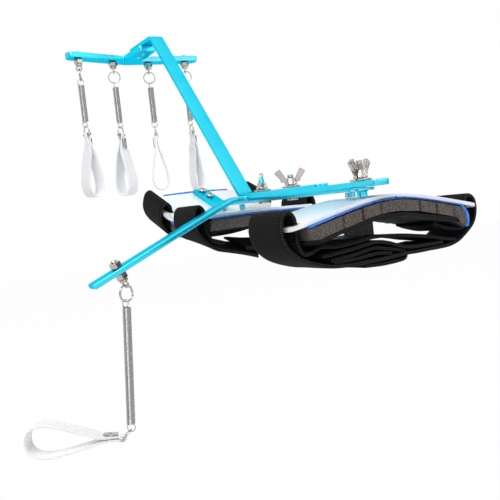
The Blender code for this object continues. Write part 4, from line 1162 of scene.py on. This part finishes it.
def makePad(name, pad):
    near, far = pad["y"]
    depth, liningThick = pad["lining"]

    def foamPlace(u, v, w):
        p = padPlace(pad, u, v, padDepth["foam"]).lerp(padPlace(pad, u, v, depth - 0.1), w)
        if v in (0.0, 1.0):
            # raw cut face: uneven, with folds where the pad is bent
            c, face = foamCut, 1 if v == 0.0 else -1
            p.y += face * (c["back"] + c["rough"] * noise.noise(Vector((p.x * 0.5, p.z * 0.5, pad["seed"]))))
            for x, deep in pad["folds"]:
                off = p.x - x - c["wander"] * noise.noise(Vector((p.z, x, 1)))
                p.y += face * c["fold"] * deep * math.exp(-(off / c["foldHalf"]) ** 2)
        p.z += w * ripple(pad, p, 9, 0.3)
        return p

    def coverPlace(u, v):
        p = padPlace(pad, u * pad["coverReach"](v), v, padDepth["cover"])
        if v == 0.0:
            # its near edge stands back a little from the foam's, unevenly
            p.y += padDepth["coverShy"] + 0.5 * noise.noise(Vector((p.x * 0.9, 3.0, pad["seed"])))
        lift = clamp((p.y - far + 2.6) / 2.6)
        p.z += pad["lift"] * lift * lift
        return p

    def liningPlace(u, v):
        p = padPlace(pad, u, v, depth)
        hang = math.sin(math.pi * clamp((p.x + 18) / 70)) * (0.35 + 0.65 * math.sin(math.pi * v))
        p.z -= pad["sag"] * hang + 0.25 + abs(ripple(pad, p, 7, 0.9))
        return p

    foam = smoothen(blockMesh(200, round((far - near) / 2), 8, foamPlace), 45)
    # painted shade for the creases of the raw cut face, kept in the fold attribute
    dark = foam.data.attributes.new("fold", "FLOAT", "POINT")
    for spot, v in zip(dark.data, foam.data.vertices):
        if v.co.y < (near + 3) * mm:
            off = [((v.co.x / mm - x) / foamCut["foldShadeHalf"], deep) for x, deep in pad["folds"]]
            spot.value = max(min(1.0, foamCut["fold"] * deep) * math.exp(-d ** 2) for d, deep in off)
    finishPiece(foam, name + "Foam", openFoam, "brace", [name + "_foam"])
    cover = smoothen(thicken(sheetMesh(150, 60, coverPlace), padDepth["coverThick"]), 50)
    finishPiece(cover, name + "Cover", loopCloth, "brace", [name + "_cover"])
    lining = smoothen(thicken(sheetMesh(110, 40, liningPlace), liningThick), 50)
    finishPiece(lining, name + "Lining", jersey, "brace")


def makePads():
    def pair(x, frameOf):
        return [frameOf(side * x) for side in (-1, 1)]
    cuffX, y = strapSlot["forearm"], strapLine["hand"]
    makeShell("cuffShell", "cuff_shell", cuffPad, lambda y: 66.5, 5.0,
              pair(cuffX, lambda x: shift(x, 0, cuffTop(cuffX, 0))), [])
    tilt = shift(0, y, handLine(y)) @ rotate("X", handTilt)
    slots = (pair(strapSlot["wrist"], lambda x: shift(x, strapLine["wrist"], 9))
             + pair(strapSlot["hand"], lambda x: tilt @ shift(x, 0, -1)))
    makeShell("handShell", "hand_shell", handPad, lambda y: 47 - 3 * handPast(y), 7.0, slots,
              [tabTop @ shift(0, along, 0) for along in tabScrews])
    makePad("cuff", cuffPad)
    makePad("hand", handPad)


# Straps: x and z of each run, seen along the forearm

strap = {"width": 32.0, "thick": 1.9, "out": 2.6}
forearmRun = {
    "inner": [(50, -19.5), (36, -17.0), (22, -14.2), (4, -12.0), (-10, -11.4), (-24, -12.6), (-36, -13.4),
              (-46, -12.6)],
    "low": [(-44, -22.6), (-30, -24.2), (-8, -24.0), (12, -23.0), (36, -22.8), (50, -21.4)],
    "end": [(60.2, -9.3), (57.6, -13.4), (50, -13.2), (41, -11.0), (34, -8.4)],
    "fold": [(-46, -17.6), (-30, -16.4), (-10, -14.2), (0, -15.6), (12, -19.4), (28, -20.2), (40, -20.0)],
    "tail": [(-40, -20.6), (-24, -19.2), (-10, -17.4), (-2, -18.6), (8, -20.6), (12, -22.2), (11.6, -25.4),
             (6, -26.4), (-6, -26.8), (-17, -26.4)],
    "layer": [(-38, -22.0), (-22, -21.6), (-8, -20.6), (2, -21.8)],
    "tape": [(-7.5, -10.4), (-14, -10.9), (-22, -12.0)],
    "tab": [(-5, 17.2), (6, 17.6), (17, 17.2)]}  # the tab's second number is y
wristRun = {"tail": [(-26, -13.0), (-6, -17.4), (6, -19.5)], "end": [(-12, -12.4), (6, -15.2), (24, -15.4)]}
handRun = [(-18, -23), (0, -24), (18, -23)]


def strapSide(x, z, rim):
    # From under the pad up through the left slot, over the shell's rim and down outside it
    out, under = rim + strap["out"], z - 11
    return [(12 - x, under - 6.4), (4.2 - x, under - 5), (0.3 - x, z - 10), (-x, z - 3), (-x, z + 1.5),
            (-x - 1.1, z + 4.8), (-x - 4, z + 6.8), (-x - out + 1.3, z + 4.8), (-x - out, z),
            (-x - out + 0.2, z - 6), (-x - out + 3.3, z - 12.5), (2.5 - x, z - 18.5)]


def otherSide(points):
    return [(-x, z) for x, z in reversed(points)]


def strapPiece(name, points, space, material, nodes=(), width=strap["width"], thick=strap["thick"]):
    obj = makeBand(points, width, thick, space, 1.0, columns=10)
    finishPiece(obj, name, material, "brace", nodes)


def makeForearmStrap():
    def forearm(p, s):
        return (p.x, s, p.y + 0.25 * noise.noise(Vector((p.x * 0.08, s * 0.06, 1))))
    run = forearmRun
    left = strapSide(strapSlot["forearm"], 0.73, 6.0)
    right = [(x, z - 2.4 * clamp((z + 1) / 7)) for x, z in otherSide(left)]
    strapPiece("forearmStrap", run["inner"] + left[1:] + run["low"] + right[:-3] + run["end"], forearm, webbing,
               ["forearm_strap"])
    strapPiece("forearmStrapFold", run["fold"], forearm, webbing)
    strapPiece("forearmStrapTail", run["tail"], forearm, webbing, width=30.0)
    strapPiece("forearmStrapLayer", run["layer"], forearm, webbing, width=30.0)
    strapPiece("forearmHookTape", run["tape"], lambda p, s: (p.x, s + 6, p.y), hookTape, width=20.0, thick=0.9)
    strapPiece("forearmHookTab", run["tab"], lambda p, s: (p.x, p.y, s - 9.0), hookTape, width=10.0, thick=1.0)


def makeHandStraps():
    def wrist(p, s):
        low = clamp((2 - p.y) / 14)
        return (p.x, strapLine["wrist"] + s, p.y + 0.26 * s * low * low)

    def wristTail(p, s):
        # its end is cut on the slant
        slant = clamp((p.x + 26) / 32)
        x, y, z = wrist(p, s)
        return (x + 0.6 * s * slant * slant, y, z)
    left = strapSide(strapSlot["wrist"], 9.13, 5.5)
    strapPiece("wristStrap", left + wristRun["tail"], wristTail, webbing, ["wrist_strap"])
    strapPiece("wristStrapEnd", wristRun["end"] + otherSide(left), wrist, webbing)
    y = strapLine["hand"]
    tilt = Matrix.Translation((0, y, handLine(y))) @ rotate("X", handTilt)
    left = strapSide(strapSlot["hand"], -0.82, 5.5)
    strapPiece("handStrap", left + handRun + otherSide(left), lambda p, s: tilt @ Vector((p.x, s, p.y)), webbing,
               ["hand_strap"])


# Finger loops and their clips

loopBand = {"thick": 1.2, "width": 14.0, "neck": 4.6, "wrap": 1.6, "gap": 1.0}
loopLength = {"index": 54.0, "middle": 54.0, "ring": 51.0, "little": 54.0, "thumb": 60.0}
loopHalf = {"index": 7.0, "middle": 7.0, "ring": 7.0, "little": 4.0, "thumb": 10.0}
clipTurn = {"index": 180, "middle": 180, "ring": 0, "little": 180, "thumb": 0}
clipPlate = {"half": 2.2, "low": -12.5, "high": -3.2, "face": 2.55, "thick": 0.8, "corner": 1.9, "edge": 0.18,
             "hole": 0.9, "holeAt": -8.2, "holeTall": 1.7}


def loopLine(length, half):
    p = loopBand
    turns = [math.pi / 2 - math.pi * i / 8 for i in range(5)]
    side = [(p["wrap"] * math.cos(a), p["wrap"] * math.sin(a)) for a in turns]
    side += [(p["gap"] + 0.4, -2.6), (p["gap"], -5.0), (p["gap"], -9.0), (p["gap"] + 0.6, -14.0)]
    belly = ((0.41, 0.375), (0.67, 0.52), (0.91, 0.68), (1.0, 0.8), (0.886, 0.907), (0.514, 0.979), (0, 1))
    side += [(half * across, -length * down) for across, down in belly]
    return side + [(-x, z) for x, z in reversed(side[1:-1])]


def loopWidth(p):
    share = clamp((-p.y - 2.0) / 16.0)
    return loopBand["neck"] + (loopBand["width"] - loopBand["neck"]) * share * share * (3 - 2 * share)


def makeLoops():
    for finger in fingers:
        line = loopLine(loopLength[finger], loopHalf[finger])
        obj = makeBand(line, loopWidth, loopBand["thick"], lambda p, s: (s, p.x, p.y), 0.8, True)
        obj.data.transform(pinFrame(finger, slingTilt))
        finishPiece(obj, finger + "Loop", leather, "sling_" + finger, ["loop_" + finger])


def makeClips():
    p = clipPlate
    plate = addBox((-p["half"], p["face"], p["low"]), (p["half"], p["face"] + p["thick"], p["high"]))
    roundEdges(plate, p["corner"], lambda m: m.z < -10, axis=1)
    hole = addRod(p["hole"], -6, 6)
    hole.data.transform(shift(0, 2, p["holeAt"]) @ rotate("X", 90) @ Matrix.Diagonal((1, p["holeTall"], 1, 1)))
    boolean(plate, hole, "DIFFERENCE")
    easeEdges(plate, p["edge"], 2)
    copyToFingers(plate, lambda f: pinFrame(f, slingTilt) @ rotate("Z", clipTurn[f]), "Clip", "sling_", "clip_")


stages = {"camera and light set": (setCamera, setLight, addCards),
          "bars bent and drilled": (makeBracket, makeArm, makeThumbBar, makeFingerBar, makePosts),
          "clamps and screws turned": (makeStuds, makeWashers, makeWingNuts, makeScrews),
          "strands hung": (makeEyeBolts, makeRings, makeSprings, makeShackles),
          "pads laid": (makePads,),
          "straps threaded": (makeForearmStrap, makeHandStraps),
          "loops and clips on their pins": (makeLoops, makeClips)}
for done, makers in stages.items():
    for make in makers:
        make()
    print(done)

scene.view_settings.view_transform = "Standard"
